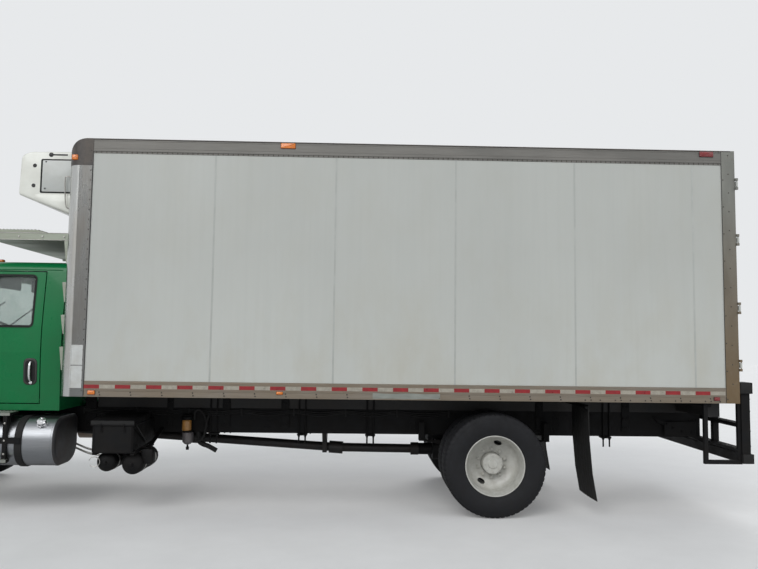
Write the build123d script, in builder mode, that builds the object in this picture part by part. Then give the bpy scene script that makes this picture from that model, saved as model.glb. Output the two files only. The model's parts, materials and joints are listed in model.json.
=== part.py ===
from build123d import *
import os
from math import cos, radians, sin

# A medium-duty refrigerated truck, in millimetres.
# X points to the front, Y to the truck's left and Z up. The origin is on the ground under the middle.

# Driving dimensions
AXLE_Z = 520
FRONT_AXLE_X = 3840
REAR_AXLE_X = -2280
TYRE_R = 520
TYRE_WIDTH = 276
BEAD_R = 286
FRONT_TYRE_Y = 1005
REAR_OUTER_Y = 1072
REAR_INNER_Y = 737
KINGPIN_Y = 850
WHEEL_SIDES = 32
HOLE_RING = 214

RAIL_OUT = 432
RAIL_FLANGE = 80
RAIL_WEB = 8
RAIL_BOTTOM = 735
RAIL_TOP = 1002
RAIL_REAR = -4725
RAIL_FRONT = 4700

BOX_HALF = 1295
BOX_FRONT = 2070
BOX_REAR = -4737
BOX_BOTTOM = 1178
BOX_TOP = 3765
WALL = 64
POST_EDGE = 1812
FRAME_EDGE = -4597
BOTTOM_RAIL_TOP = 1333
TOP_RAIL_BOTTOM = 3625
PANEL_OUT = 1289
WALL_IN = BOX_HALF - WALL - 6
CORNER_R = 127
CROWN_R = 200
FLOOR_TOP = 1385
ROOF_IN = 3690
FRONT_WALL_IN = 1972

CAB_REAR = 2160
CAB_FRONT = 3380
CAB_BOTTOM = 1010
CAB_TOP = 2540
CAB_WALL = 45
DOOR_REAR = 2358
DOOR_FRONT = 3235
DOOR_BOTTOM = 1074
DOOR_THICK = 58
DOOR_HINGE_Z = (1220, 1640)
SILL_Z = 1862
HINGE_X = 3240
HINGE_Y = 1036

HOOD_REAR = 3395
HOOD_FRONT = 4790
HOOD_SKIN = 16
ARCH_R = 640
FENDER_HALF = 1190
FENDER_REAR = 3272
BUMPER_FRONT = 4880
PIVOT_X = 4772
PIVOT_Z = 812
TOW_X = 4780
TOW_Z = 455
TOW_R = 25

REAR_DOOR_OUT = BOX_REAR + 40
REAR_HINGE_X = BOX_REAR - 18
REAR_HINGE_Y = BOX_HALF + 6

os.makedirs("parts", exist_ok=True)


# Helpers
def keep(shape, name):
    """Label a finished piece and write it to its own file."""
    shape.label = name
    export_step(shape, f"parts/{name}.step")


def keep_pair(left, name):
    """Keep a left piece, and its mirror image for the right side."""
    keep(left, f"{name}_left")
    keep(mirror(left, about=Plane.XZ), f"{name}_right")


def block(x0, x1, y0, y1, z0, z1, mode=Mode.ADD):
    """A block between two values on each axis."""
    with Locations(((x0 + x1) / 2, (y0 + y1) / 2, (z0 + z1) / 2)):
        Box(x1 - x0, y1 - y0, z1 - z0, mode=mode)


def side_slab(points, y0, y1, mode=Mode.ADD, radius=0):
    """A slab whose outline of (x, z) points is seen from the truck's side."""
    with BuildSketch(Plane.XZ.offset(-y1)) as outline:
        with BuildLine():
            Polyline(*points, close=True)
        make_face()
        if radius:
            fillet(outline.vertices(), radius)
    extrude(outline.sketch, amount=y1 - y0, mode=mode)


def front_slab(points, x0, x1, mode=Mode.ADD, radius=0):
    """A slab whose outline of (y, z) points is seen from the truck's front."""
    with BuildSketch(Plane.YZ.offset(x0)) as outline:
        with BuildLine():
            Polyline(*points, close=True)
        make_face()
        if radius:
            fillet(outline.vertices(), radius)
    extrude(outline.sketch, amount=x1 - x0, mode=mode)


def plan_slab(points, z0, z1, mode=Mode.ADD):
    """A slab whose outline of (x, y) points is seen from above."""
    with BuildSketch(Plane.XY.offset(z0)) as outline:
        with BuildLine():
            Polyline(*points, close=True)
        make_face()
    extrude(outline.sketch, amount=z1 - z0, mode=mode)


def turned(plane, profile, sides):
    """A form about a plane's Z axis, from closed (height, radius) points, with flat sides round it."""
    turns = [radians(360 * step / sides) for step in range(sides)]
    spokes = [plane.x_dir * cos(turn) + plane.y_dir * sin(turn) for turn in turns]
    facets = []
    for (z0, r0), (z1, r1) in zip(profile, profile[1:] + profile[:1]):
        low = plane.origin + plane.z_dir * z0
        high = plane.origin + plane.z_dir * z1
        for here, there in zip(spokes, spokes[1:] + spokes[:1]):
            corners = [low + there * r0, high + there * r1]
            if r1:
                corners.append(high + here * r1)
            if r0:
                corners.append(low + here * r0)
            if len(corners) > 2:
                facets.append(Face(Wire.make_polygon(corners)))
    add(Solid(Shell(facets)))


def axle_plane(x):
    """The plane across an axle line, whose Z axis points to the truck's left."""
    return Plane(origin=(x, 0, AXLE_Z), x_dir=(1, 0, 0), z_dir=(0, 1, 0))


def rod(start, end, radius, sides=0, mode=Mode.ADD):
    """A bar from one point to another, round or with a number of flat sides."""
    run = Vector(*end) - Vector(*start)
    with BuildSketch(Plane(origin=start, z_dir=run)) as outline:
        if sides:
            RegularPolygon(radius, sides)
        else:
            Circle(radius)
    extrude(outline.sketch, amount=run.length, mode=mode)


def post(x, y, z0, z1, radius):
    """An upright eight-sided eye or barrel."""
    with BuildSketch(Plane.XY.offset(z0)) as outline:
        with Locations((x, y)):
            RegularPolygon(radius, 8)
    extrude(outline.sketch, amount=z1 - z0)


def tyre_profile(y):
    """A tyre's (y, radius) section, with flat tread and sloping shoulders and sidewalls."""
    half = TYRE_WIDTH / 2
    return [(y - half + 22, BEAD_R), (y - half, 410), (y - half + 32, TYRE_R),
            (y + half - 32, TYRE_R), (y + half, 410), (y + half - 22, BEAD_R)]


def hand_holes(x, y0, y1):
    """Two long holes through a wheel's disc, with cut corners."""
    with BuildSketch(Plane.XZ.offset(-y1)) as holes:
        for turn in (108, 300):
            with Locations(Location((x, AXLE_Z), turn - 90)):
                with Locations((0, HOLE_RING)):
                    with BuildLine():
                        Polyline((-43, -9), (-43, 9), (-25, 25), (25, 25), (43, 9), (43, -9), (25, -25),
                                 (-25, -25), close=True)
                    make_face()
    extrude(holes.sketch, amount=y1 - y0, mode=Mode.SUBTRACT)


# Chassis frame: two channel rails joined by cross members
CROSS_MEMBER_X = (-4640, -3100, -1500, 100, 1900, 4656)
with BuildPart() as chassis_frame:
    with BuildSketch(Plane.YZ.offset(RAIL_REAR)):
        with Locations((RAIL_OUT - RAIL_FLANGE / 2, (RAIL_BOTTOM + RAIL_TOP) / 2)):
            Rectangle(RAIL_FLANGE, RAIL_TOP - RAIL_BOTTOM)
        with Locations((RAIL_OUT - RAIL_WEB - RAIL_FLANGE / 2, (RAIL_BOTTOM + RAIL_TOP) / 2)):
            Rectangle(RAIL_FLANGE, RAIL_TOP - RAIL_BOTTOM - 2 * RAIL_WEB, mode=Mode.SUBTRACT)
    extrude(amount=RAIL_FRONT - RAIL_REAR)
    mirror(about=Plane.XZ)
    with BuildSketch(Plane.XZ.offset(-(RAIL_OUT - RAIL_WEB))):
        with Locations(*[(x, 860) for x in CROSS_MEMBER_X]):
            Rectangle(80, 150)
        with Locations(*[(x - 8, 860) for x in CROSS_MEMBER_X]):
            Rectangle(80, 134, mode=Mode.SUBTRACT)
    extrude(amount=2 * (RAIL_OUT - RAIL_WEB))
keep(chassis_frame.part, "chassis_frame")

# Front axle: a dropped beam with an eye for each kingpin
with BuildPart() as front_axle:
    front_slab(
        [(-790, 482), (-700, 482), (-560, 392), (560, 392), (700, 482), (790, 482), (790, 560), (690, 560),
         (540, 478), (-540, 478), (-690, 560), (-790, 560)],
        FRONT_AXLE_X - 48, FRONT_AXLE_X + 48)
    for side in (-1, 1):
        post(FRONT_AXLE_X, side * KINGPIN_Y, 482, 558, 46)
        block(FRONT_AXLE_X - 48, FRONT_AXLE_X + 48, side * 430 - 46, side * 430 + 46, 470, 492)
        block(FRONT_AXLE_X - 30, FRONT_AXLE_X + 30, side * 810 - 30, side * 810 + 30, 486, 554)
        with Locations((FRONT_AXLE_X, side * KINGPIN_Y, 520)):
            Cylinder(20.05, 200, mode=Mode.SUBTRACT)
keep(front_axle.part, "front_axle")

# Knuckles: a fork on the kingpin, a spindle for the hub and an arm for the tie rod
ARM_X = FRONT_AXLE_X - 190
TIE_Z = 412
with BuildPart() as knuckle:
    with Locations((FRONT_AXLE_X, KINGPIN_Y, 520)):
        Cylinder(20, 176)
    post(FRONT_AXLE_X, KINGPIN_Y, 560, 618, 44)
    post(FRONT_AXLE_X, KINGPIN_Y, 422, 480, 44)
    block(FRONT_AXLE_X - 44, FRONT_AXLE_X + 44, KINGPIN_Y + 52, KINGPIN_Y + 84, 424, 616)
    block(FRONT_AXLE_X - 40, FRONT_AXLE_X + 40, KINGPIN_Y, KINGPIN_Y + 60, 562, 616)
    block(FRONT_AXLE_X - 40, FRONT_AXLE_X + 40, KINGPIN_Y, KINGPIN_Y + 60, 424, 478)
    rod((FRONT_AXLE_X, KINGPIN_Y + 60, AXLE_Z), (FRONT_AXLE_X, 1140, AXLE_Z), 34)
    side_slab([(FRONT_AXLE_X - 20, 424), (FRONT_AXLE_X - 20, 460), (ARM_X, 452), (ARM_X - 26, 452),
               (ARM_X - 26, 434), (ARM_X, 434)], KINGPIN_Y - 22, KINGPIN_Y + 22)
    post(ARM_X, KINGPIN_Y, 434, 452, 26)
    with Locations((ARM_X, KINGPIN_Y, 420)):
        Cylinder(9, 50)
keep_pair(knuckle.part, "knuckle")

# Tie rod: between the ends of the two arms
with BuildPart() as tie_rod:
    rod((ARM_X, -KINGPIN_Y, TIE_Z), (ARM_X, KINGPIN_Y, TIE_Z), 16, 8)
    post(ARM_X, KINGPIN_Y, TIE_Z - 15, TIE_Z + 15, 26)
    post(ARM_X, -KINGPIN_Y, TIE_Z - 15, TIE_Z + 15, 26)
    with Locations((ARM_X, KINGPIN_Y, TIE_Z), (ARM_X, -KINGPIN_Y, TIE_Z)):
        Cylinder(9.05, 60, mode=Mode.SUBTRACT)
keep(tie_rod.part, "tie_rod")

# Rear axle: banjo housing, tubes, spindles and the pinion nose
PINION_X = -1600
with BuildPart() as rear_axle:
    turned(axle_plane(REAR_AXLE_X), [(-690, 0), (-690, 66), (-330, 66), (-130, 205), (130, 205), (330, 66),
                                     (690, 66), (690, 0)], 16)
    rod((REAR_AXLE_X, -975, AXLE_Z), (REAR_AXLE_X, 975, AXLE_Z), 45)
    rod((REAR_AXLE_X, 0, AXLE_Z), (PINION_X - 160, 0, AXLE_Z), 120, 12)
    rod((PINION_X - 160, 0, AXLE_Z), (PINION_X, 0, AXLE_Z), 66, 12)
    for side in (-1, 1):
        block(REAR_AXLE_X - 60, REAR_AXLE_X + 60, side * 492 - 46, side * 492 + 46, AXLE_Z, 600)
keep(rear_axle.part, "rear_axle")

# Leaf springs with their hangers, and the rear ones' clamps
# columns: middle x, middle y, middle z, half length, rise of the ends, thickness, width
SPRINGS = (
    (FRONT_AXLE_X, 430, 492, 640, 118, 66, 80),
    (REAR_AXLE_X, 492, 600, 700, 90, 96, 76),
)
with BuildPart() as leaf_springs:
    for x, y, z, half, rise, thick, wide in SPRINGS:
        under = [(x + half * step / 3, z + rise * step * step / 9) for step in range(-3, 4)]
        over = [(along, height + thick - abs(along - x) / half * thick / 2) for along, height in under]
        side_slab(under + over[::-1], y - wide / 2, y + wide / 2)
        for end in (-1, 1):
            tip = x + end * (half - 14)
            top = RAIL_BOTTOM if y < RAIL_OUT else RAIL_BOTTOM + 150
            block(tip - 34, tip + 34, y - wide / 2, y + wide / 2, z + rise + thick / 2 - 14, top)
        if y > RAIL_OUT:
            for end in (-1, 1):
                block(x + end * 84 - 12, x + end * 84 + 12, y - 46, y + 46, AXLE_Z - 84, z + thick + 40)
            block(x - 90, x + 90, y - 46, y + 46, z + thick + 2, z + thick + 28)
            block(x - 90, x + 90, y - 46, y + 46, AXLE_Z - 84, AXLE_Z - 68)
    mirror(about=Plane.XZ)
keep(leaf_springs.part, "leaf_springs")

# Engine with its gearbox as one plain mass, and the radiator ahead of it
with BuildPart() as engine:
    block(3470, 4400, -320, 320, 640, 1400)
    block(2900, 3470, -230, 230, 600, 980)
    block(2500, 2900, -150, 150, 590, 820)
    block(4520, 4610, -340, 340, 700, 1400)
keep(engine.part, "engine")

# Drive shaft: shafts with a joint at each end, two joints between and two hanger bearings
SHAFT_FRONT = Vector(2500, 0, 724)
SHAFT_BEND = Vector(-640, 0, 528)
SHAFT_REAR = Vector(PINION_X, 0, AXLE_Z)
YOKE = Vector(90, 0, 0)
# columns: start along the front run, end along it, radius
SHAFT_STEPS = ((10, 1490, 50), (1490, 1640, 70), (1640, 3080, 50), (3070, 3230, 70))
with BuildPart() as drive_shaft:
    shaft_dir = (SHAFT_BEND - SHAFT_FRONT).normalized()
    for begin, stop, radius in SHAFT_STEPS:
        rod(tuple(SHAFT_FRONT + shaft_dir * begin), tuple(SHAFT_FRONT + shaft_dir * stop), radius, 12)
    rod(tuple(SHAFT_BEND), tuple(SHAFT_REAR + YOKE * 0.5), 50, 12)
    rod(tuple(SHAFT_FRONT), tuple(SHAFT_FRONT - YOKE), 72, 12)
    rod(tuple(SHAFT_REAR), tuple(SHAFT_REAR + YOKE), 72, 12)
    for station in (1450, 3020):
        place = SHAFT_FRONT + shaft_dir * station
        block(place.X - 25, place.X + 25, -90, 90, place.Z - 58, place.Z + 80)
        front_slab([(-90, place.Z + 60), (90, place.Z + 60), (352, 850), (352, 935), (-352, 935), (-352, 850)],
                   place.X - 25, place.X + 25)
keep(drive_shaft.part, "drive_shaft")

# Fuel tank: a drum of rounded section with pressed ends and a filler cap
TANK_IN = 545
TANK_OUT = 1182
TANK_LOW = 455
TANK_TOP = 948
TANK_REAR = 2140
TANK_FRONT = 3110
# columns: y of the corner's centre, z of it, radius, first angle
TANK_CORNERS = (
    (TANK_OUT - 215, TANK_LOW + 215, 215, -90),
    (TANK_OUT - 225, TANK_TOP - 225, 225, 0),
    (TANK_IN + 70, TANK_TOP - 70, 70, 90),
    (TANK_IN + 200, TANK_LOW + 200, 200, 180),
)


def tank_section(grow):
    """The tank's (y, z) outline, each corner in four flats, grown by an amount."""
    points = []
    for y, z, radius, first in TANK_CORNERS:
        for step in range(5):
            turn = radians(first + 22.5 * step)
            points.append((y + (radius + grow) * cos(turn), z + (radius + grow) * sin(turn)))
    return points


with BuildPart() as fuel_tank:
    front_slab(tank_section(0), TANK_REAR, TANK_FRONT)
    front_slab(tank_section(-45), TANK_REAR - 24, TANK_FRONT + 24)
    rod((2270, 1000, 880), (2270, 1060, 950), 40, 10)
keep(fuel_tank.part, "fuel_tank")

# Tank straps with their brackets on the rail, and the two steps outside the tank
TANK_STRAP_X = (2475, 2830)
with BuildPart() as tank_steps:
    for x in TANK_STRAP_X:
        front_slab(tank_section(8), x - 28, x + 28)
        block(x - 28, x + 28, RAIL_OUT, TANK_IN + 60, 500, 960)
    for x in (2600, 3060):
        block(x - 20, x + 20, TANK_OUT - 70, TANK_OUT + 20, 515, 1004)
    block(2447, 3080, TANK_OUT - 60, TANK_OUT + 20, 700, 760)
    front_slab(tank_section(0.5), TANK_REAR, TANK_FRONT, Mode.SUBTRACT)
    block(2560, 3080, 1000, TANK_OUT + 20, 980, 1004)
    block(2560, 3080, TANK_OUT, TANK_OUT + 60, 515, 550)
keep(tank_steps.part, "tank_steps")

# Battery box on the rail, with two air tanks under it
with BuildPart() as battery_box:
    block(1342, 1747, RAIL_OUT, 1190, 612, 896)
    side_slab([(1332, 896), (1757, 896), (1757, 950), (1720, 972), (1369, 972), (1332, 950)], 620, 1200)
    for x, z, radius in ((1630, 514, 97), (1370, 497, 108)):
        rod((x, 470, z), (x, 1120, z), radius, 20)
        for y in (620, 980):
            block(x - 40, x + 40, y - 20, y + 20, z, 614)
keep(battery_box.part, "battery_box")

# Muffler on the right side, with its pipes
with BuildPart() as muffler:
    rod((1500, -850, 640), (2600, -850, 640), 145, 20)
    for x in (1720, 2380):
        block(x - 25, x + 25, -850, -RAIL_OUT, 700, 800)
    with BuildLine():
        pipe_in = Polyline((2590, -850, 640), (2800, -850, 640), (2930, -790, 643), (3060, -440, 655),
                           (3180, -291, 690), (3466, -291, 690))
    with BuildSketch(Plane(origin=pipe_in @ 0, z_dir=pipe_in % 0)):
        RegularPolygon(48, 10)
    sweep(path=pipe_in, transition=Transition.RIGHT)
    with BuildLine():
        pipe_out = Polyline((1510, -850, 640), (1150, -850, 640), (1060, -930, 618), (980, -1150, 560))
    with BuildSketch(Plane(origin=pipe_out @ 0, z_dir=pipe_out % 0)):
        RegularPolygon(50, 10)
    sweep(path=pipe_out, transition=Transition.RIGHT)
keep(muffler.part, "muffler")

# Rear step with its dock blocks, struts and underride guard, mirrored to the right side
STEP_X0 = -4854
STEP_X1 = -4766
# columns: x from, x to, y from, y to, z from, z to
STEP_BARS = (
    (STEP_X0, STEP_X1, 1160, 1260, 577, 1388),
    (STEP_X0 - 16, BOX_REAR, 1120, 1290, 1278, 1388),
    (-4880, STEP_X1, 1150, 1270, 577, 670),
    (-4429, -4389, 1205, 1245, 568, BOX_BOTTOM),
    (-4773, -4733, 1205, 1245, 568, BOX_BOTTOM),
    (-4773, -4389, 1205, 1245, 568, 608),
    (STEP_X0, STEP_X1, 0, 1200, 930, 972),
    (STEP_X0, STEP_X1, 0, 1200, 680, 716),
    (STEP_X0, STEP_X1, 0, 1200, 577, 672),
    (-4844, -4784, 560, 625, 577, BOX_BOTTOM + 90),
    (-4790, BOX_REAR, 540, 645, BOX_BOTTOM, BOX_BOTTOM + 90),
)
with BuildPart() as rear_step:
    for x0, x1, y0, y1, z0, z1 in STEP_BARS:
        block(x0, x1, y0, y1, z0, z1)
    side_slab([(-4230, 902), (-4190, 950), (STEP_X1, 716), (STEP_X1, 668)], RAIL_OUT, RAIL_OUT + 44)
    mirror(about=Plane.XZ)
keep(rear_step.part, "rear_step")

# Mud flaps behind the rear wheels, on bars from the rail
with BuildPart() as mud_flaps:
    side_slab([(-3218, 1140), (-3222, 800), (-3250, 450), (-3296, 178), (-3306, 178), (-3260, 450),
               (-3232, 800), (-3228, 1140)], 620, 1200)
    block(-3212, -3182, RAIL_OUT, 1200, 1096, 1136)
    block(-3220, -3200, 620, 1200, 1100, 1130)
    mirror(about=Plane.XZ)
keep(mud_flaps.part, "mud_flaps")

# Front bumper: a bowed channel on two brackets
# columns: x, y, from the middle to the left end
BUMPER_LINE = ((BUMPER_FRONT, 200), (4858, 540), (4831, 800), (4790, 1080), (4762, 1140), (4700, 1172),
               (4640, 1172))


def bumper_outline(back):
    """The bumper's outline from above, set back by an amount."""
    left = [(x - back, y - back) for x, y in BUMPER_LINE]
    return left + [(x, -y) for x, y in reversed(left)]


with BuildPart() as front_bumper:
    plan_slab(bumper_outline(0), 480, 780)
    plan_slab(bumper_outline(14), 470, 790, Mode.SUBTRACT)
    block(4500, 4640, -1200, 1200, 470, 790, Mode.SUBTRACT)
    for side in (-1, 1):
        block(4640, 4858, side * 390 - 34, side * 390 + 34, RAIL_BOTTOM - 190, RAIL_BOTTOM)
        side_slab([(4690, 560), (4850, 560), (4850, 440), (4760, 400), (4690, 480)],
                  side * 390 - 15, side * 390 + 15)
        with Locations((TOW_X, side * 390, TOW_Z)):
            Cylinder(TOW_R, 60, rotation=(90, 0, 0), mode=Mode.SUBTRACT)
        block(PIVOT_X - 14, PIVOT_X + 11, side * 412 - 8, side * 412 + 8, RAIL_BOTTOM - 10, PIVOT_Z + 11)
        with Locations((PIVOT_X, side * 398, PIVOT_Z)):
            Cylinder(7, 44, rotation=(90, 0, 0))
keep(front_bumper.part, "front_bumper")


# Cab: one hollow body from a front and a side outline, cut for doors and glass
WINDSHIELD_FOOT = (CAB_FRONT, 1800)
WINDSHIELD_HEAD = (3030, 2465)


def cab_form(inset):
    """The cab's outer form, or its inner form when inset is the wall's thickness."""
    half = [(985, CAB_BOTTOM + inset), (1020, 1600), (1015, 1870), (940, CAB_TOP - inset)]
    left = [(y - inset, z) for y, z in half]
    right = [(-y, z) for y, z in reversed(left)]
    foot_x, foot_z = WINDSHIELD_FOOT
    head_x, head_z = WINDSHIELD_HEAD
    with BuildPart() as form:
        front_slab(left + right, CAB_REAR + inset, CAB_FRONT - inset)
        along = form.edges().filter_by(Axis.X).group_by(Axis.Z)[-1]
        fillet(along, 120 - inset)
        side_slab([(CAB_REAR + inset, 900), (CAB_REAR + inset, CAB_TOP - inset),
                   (2930 - inset / 2, CAB_TOP - inset), (head_x - inset, head_z - inset / 2),
                   (foot_x - inset, foot_z - inset / 2), (foot_x - inset, 900)],
                  -1100, 1100, Mode.INTERSECT)
    return form.part


def door_outline(gap):
    """The door's outline from the side, shrunk by a gap."""
    slope = (WINDSHIELD_FOOT[0] - WINDSHIELD_HEAD[0]) / (WINDSHIELD_HEAD[1] - WINDSHIELD_FOOT[1])
    belt = 1880
    head = 2440 - gap
    return [
        (DOOR_REAR + gap, DOOR_BOTTOM + gap), (DOOR_REAR + gap, head),
        (DOOR_FRONT - gap - slope * (head - belt), head), (DOOR_FRONT - gap, belt),
        (DOOR_FRONT - gap, DOOR_BOTTOM + gap),
    ]


def window_outline(inset):
    """The side window's outline, shrunk by an inset."""
    return [(2462 + inset, SILL_Z + inset), (2462 + inset, 2392 - inset), (2868 - inset, 2392 - inset),
            (3120 - inset, 1932 + inset), (3120 - inset, SILL_Z + inset)]


foot = Vector(WINDSHIELD_FOOT[0], 0, WINDSHIELD_FOOT[1])
head = Vector(WINDSHIELD_HEAD[0], 0, WINDSHIELD_HEAD[1])
windshield_plane = Plane(origin=(foot + head) / 2, x_dir=(0, 1, 0), z_dir=Vector(0, 1, 0).cross(head - foot))


def windshield_cut(depth, inset):
    """A block through the windshield's opening, a little wider at the foot."""
    with BuildSketch(windshield_plane) as opening:
        with BuildLine():
            Polyline((-890 + inset, -290 + inset), (890 - inset, -290 + inset), (800 - inset, 300 - inset),
                     (-800 + inset, 300 - inset), close=True)
        make_face()
        fillet(opening.vertices(), 60)
    return extrude(opening.sketch, amount=depth, both=True, mode=Mode.PRIVATE)


def back_window_cut(depth, inset):
    """A block through the back window's opening."""
    with BuildSketch(Plane.YZ.offset(CAB_REAR + CAB_WALL / 2)) as opening:
        with Locations((0, 2150)):
            RectangleRounded(900 - 2 * inset, 380 - 2 * inset, 50)
    return extrude(opening.sketch, amount=depth, both=True, mode=Mode.PRIVATE)


with BuildPart() as cab_shell:
    add(cab_form(0))
    add(cab_form(CAB_WALL), mode=Mode.SUBTRACT)
    side_slab(door_outline(0), -1100, 1100, Mode.SUBTRACT)
    add(windshield_cut(120, 0), mode=Mode.SUBTRACT)
    add(back_window_cut(120, 0), mode=Mode.SUBTRACT)
    for side in (-1, 1):
        block(2260, 2320, side * 400 - 35, side * 400 + 35, RAIL_TOP, CAB_BOTTOM)
        block(3280, 3340, side * 400 - 35, side * 400 + 35, RAIL_TOP, CAB_BOTTOM)
        for z in DOOR_HINGE_Z:
            for middle in (z - 39, z + 39):
                y0, y1 = sorted((side * 975, side * (HINGE_Y + 10)))
                block(HINGE_X - 10, HINGE_X + 16, y0, y1, middle - 7, middle + 7)
            with Locations((HINGE_X, side * HINGE_Y, z)):
                Cylinder(5, 66)
keep(cab_shell.part, "cab_shell")

with BuildPart() as cab_glass:
    add(windshield_cut(120, 0))
    add(back_window_cut(4, 0))
    add(cab_form(30), mode=Mode.SUBTRACT)
    with BuildSketch(windshield_plane):
        Rectangle(2200, 900)
    extrude(amount=200, mode=Mode.SUBTRACT)
    with BuildSketch(windshield_plane.offset(-40)):
        Rectangle(2200, 900)
    extrude(amount=-200, mode=Mode.SUBTRACT)
keep(cab_glass.part, "cab_glass")

# Cab doors with a window each
with BuildPart() as cab_door:
    add(cab_form(0))
    add(cab_form(DOOR_THICK), mode=Mode.SUBTRACT)
    side_slab(door_outline(10), 700, 1100, Mode.INTERSECT)
    side_slab(window_outline(0), 700, 1100, Mode.SUBTRACT, radius=45)
    for z in DOOR_HINGE_Z:
        block(HINGE_X - 44, HINGE_X - 16, 980, HINGE_Y, z - 30, z + 30)
        block(HINGE_X - 44, HINGE_X, HINGE_Y - 8, HINGE_Y, z - 30, z + 30)
        post(HINGE_X, HINGE_Y, z - 30, z + 30, 11)
        with Locations((HINGE_X, HINGE_Y, z)):
            Cylinder(5.05, 80, mode=Mode.SUBTRACT)
keep_pair(cab_door.part, "cab_door")

with BuildPart() as door_glass:
    add(cab_form(26))
    add(cab_form(32), mode=Mode.SUBTRACT)
    side_slab(window_outline(0), 700, 1100, Mode.INTERSECT, radius=45)
keep_pair(door_glass.part, "door_glass")

# Mirrors: a tall head on a bracket from the door
with BuildPart() as mirror_arm:
    plan_slab([(3120, 1155), (3120, 1315), (3140, 1335), (3190, 1335), (3210, 1315), (3210, 1155), (3190, 1135),
               (3140, 1135)], 1560, 1980)
    for z in (1640, 1900):
        rod((3150, 985, z), (3165, 1160, z), 13, 6)
    add(cab_door.part, mode=Mode.SUBTRACT)
keep_pair(mirror_arm.part, "mirror")

# Dashboard with the steering column
WHEEL_CENTRE = Vector(2950, 440, 1800)
COLUMN_FOOT = Vector(3200, 440, 1450)
column_dir = (WHEEL_CENTRE - COLUMN_FOOT).normalized()
with BuildPart() as dashboard:
    side_slab([(3325, 1300), (3325, 1740), (3240, 1740), (3080, 1660), (3060, 1480), (3160, 1300)], -925, 925)
    rod(tuple(COLUMN_FOOT), tuple(WHEEL_CENTRE - column_dir * 15), 30, 10)
keep(dashboard.part, "dashboard")

with BuildPart() as steering_wheel:
    wheel_plane = Plane(origin=WHEEL_CENTRE, z_dir=column_dir)
    turned(wheel_plane, [(0, 231), (14, 223), (14, 207), (0, 199), (-14, 207), (-14, 223)], 24)
    with BuildSketch(wheel_plane.offset(-10)):
        RegularPolygon(55, 12)
        with PolarLocations(0, 3, start_angle=90):
            with Locations((110, 0)):
                Rectangle(200, 34)
    extrude(amount=16)
keep(steering_wheel.part, "steering_wheel")

# Seats: driver's seat and a bench for two, on their bases
with BuildPart() as seats:
    for y0, y1 in ((190, 690), (-870, -120)):
        side_slab([(2440, 1420), (2930, 1440), (2960, 1470), (2960, 1520), (2930, 1550), (2440, 1530)], y0, y1)
        side_slab([(2330, 1520), (2480, 1540), (2405, 2165), (2380, 2190), (2300, 2183), (2281, 2160)], y0, y1)
        block(2480, 2900, y0 + 40, y1 - 40, CAB_BOTTOM + CAB_WALL, 1424)
keep(seats.part, "seats")


# Hood: engine cover and fenders in one hollow shell
def cover_section(half, low, high, radius):
    """The engine cover's (y, z) outline, with each upper corner in three flats."""
    left = [(half, low)]
    for turn in (0, 30, 60, 90):
        left.append((half - radius * (1 - cos(radians(turn))), high - radius * (1 - sin(radians(turn)))))
    return left + [(-y, z) for y, z in reversed(left)]


def cover_form(inset, rear):
    """The engine cover's form, lofted from the cowl to the nose."""
    with BuildPart() as form:
        # columns: x, half width, bottom, top
        for x, half, low, high in ((rear, 985, 880, 1655), (HOOD_FRONT - inset, 600, 830, 1440)):
            with BuildSketch(Plane.YZ.offset(x)):
                with BuildLine():
                    Polyline(*cover_section(half - inset, low, high - inset, 150 - inset), close=True)
                make_face()
        loft(ruled=True)
    return form.part


# columns: x, y less the half width
FENDER_NOSE = ((4420, 0), (4575, -38), (4690, -120), (4762, -225))
# columns: x, z
FENDER_TOP = ((3400, 1228), (3520, 1262), (3680, 1283), (3840, 1290), (4120, 1288), (4380, 1262), (4600, 1214))


def fender_form(inset):
    """The fenders' form: the outline from above cut by the outline from the side."""
    half = FENDER_HALF - inset
    nose = HOOD_FRONT - inset
    rear = FENDER_REAR + inset
    corner = [(x, half + y) for x, y in FENDER_NOSE]
    top = [(x, z - inset) for x, z in FENDER_TOP]
    with BuildPart() as form:
        plan_slab([(rear, half)] + corner + [(nose, half - 330), (nose, 300), (rear, 300)], 780, 1380)
        side_slab([(rear, 880), (rear, 1180 - inset)] + top + [(nose, 1150 - inset), (nose, 830), (4300, 830),
                                                               (3400, 880)], 0, 1300, Mode.INTERSECT)
    return form.part


def lamp_outline(side):
    """A headlamp's (y, z) outline, with cut corners."""
    corner = [(140, 55), (110, 85), (-110, 85), (-140, 55), (-140, -55), (-110, -85), (110, -85), (140, -55)]
    return [(side * 690 + y, 1010 + z) for y, z in corner]


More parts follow.
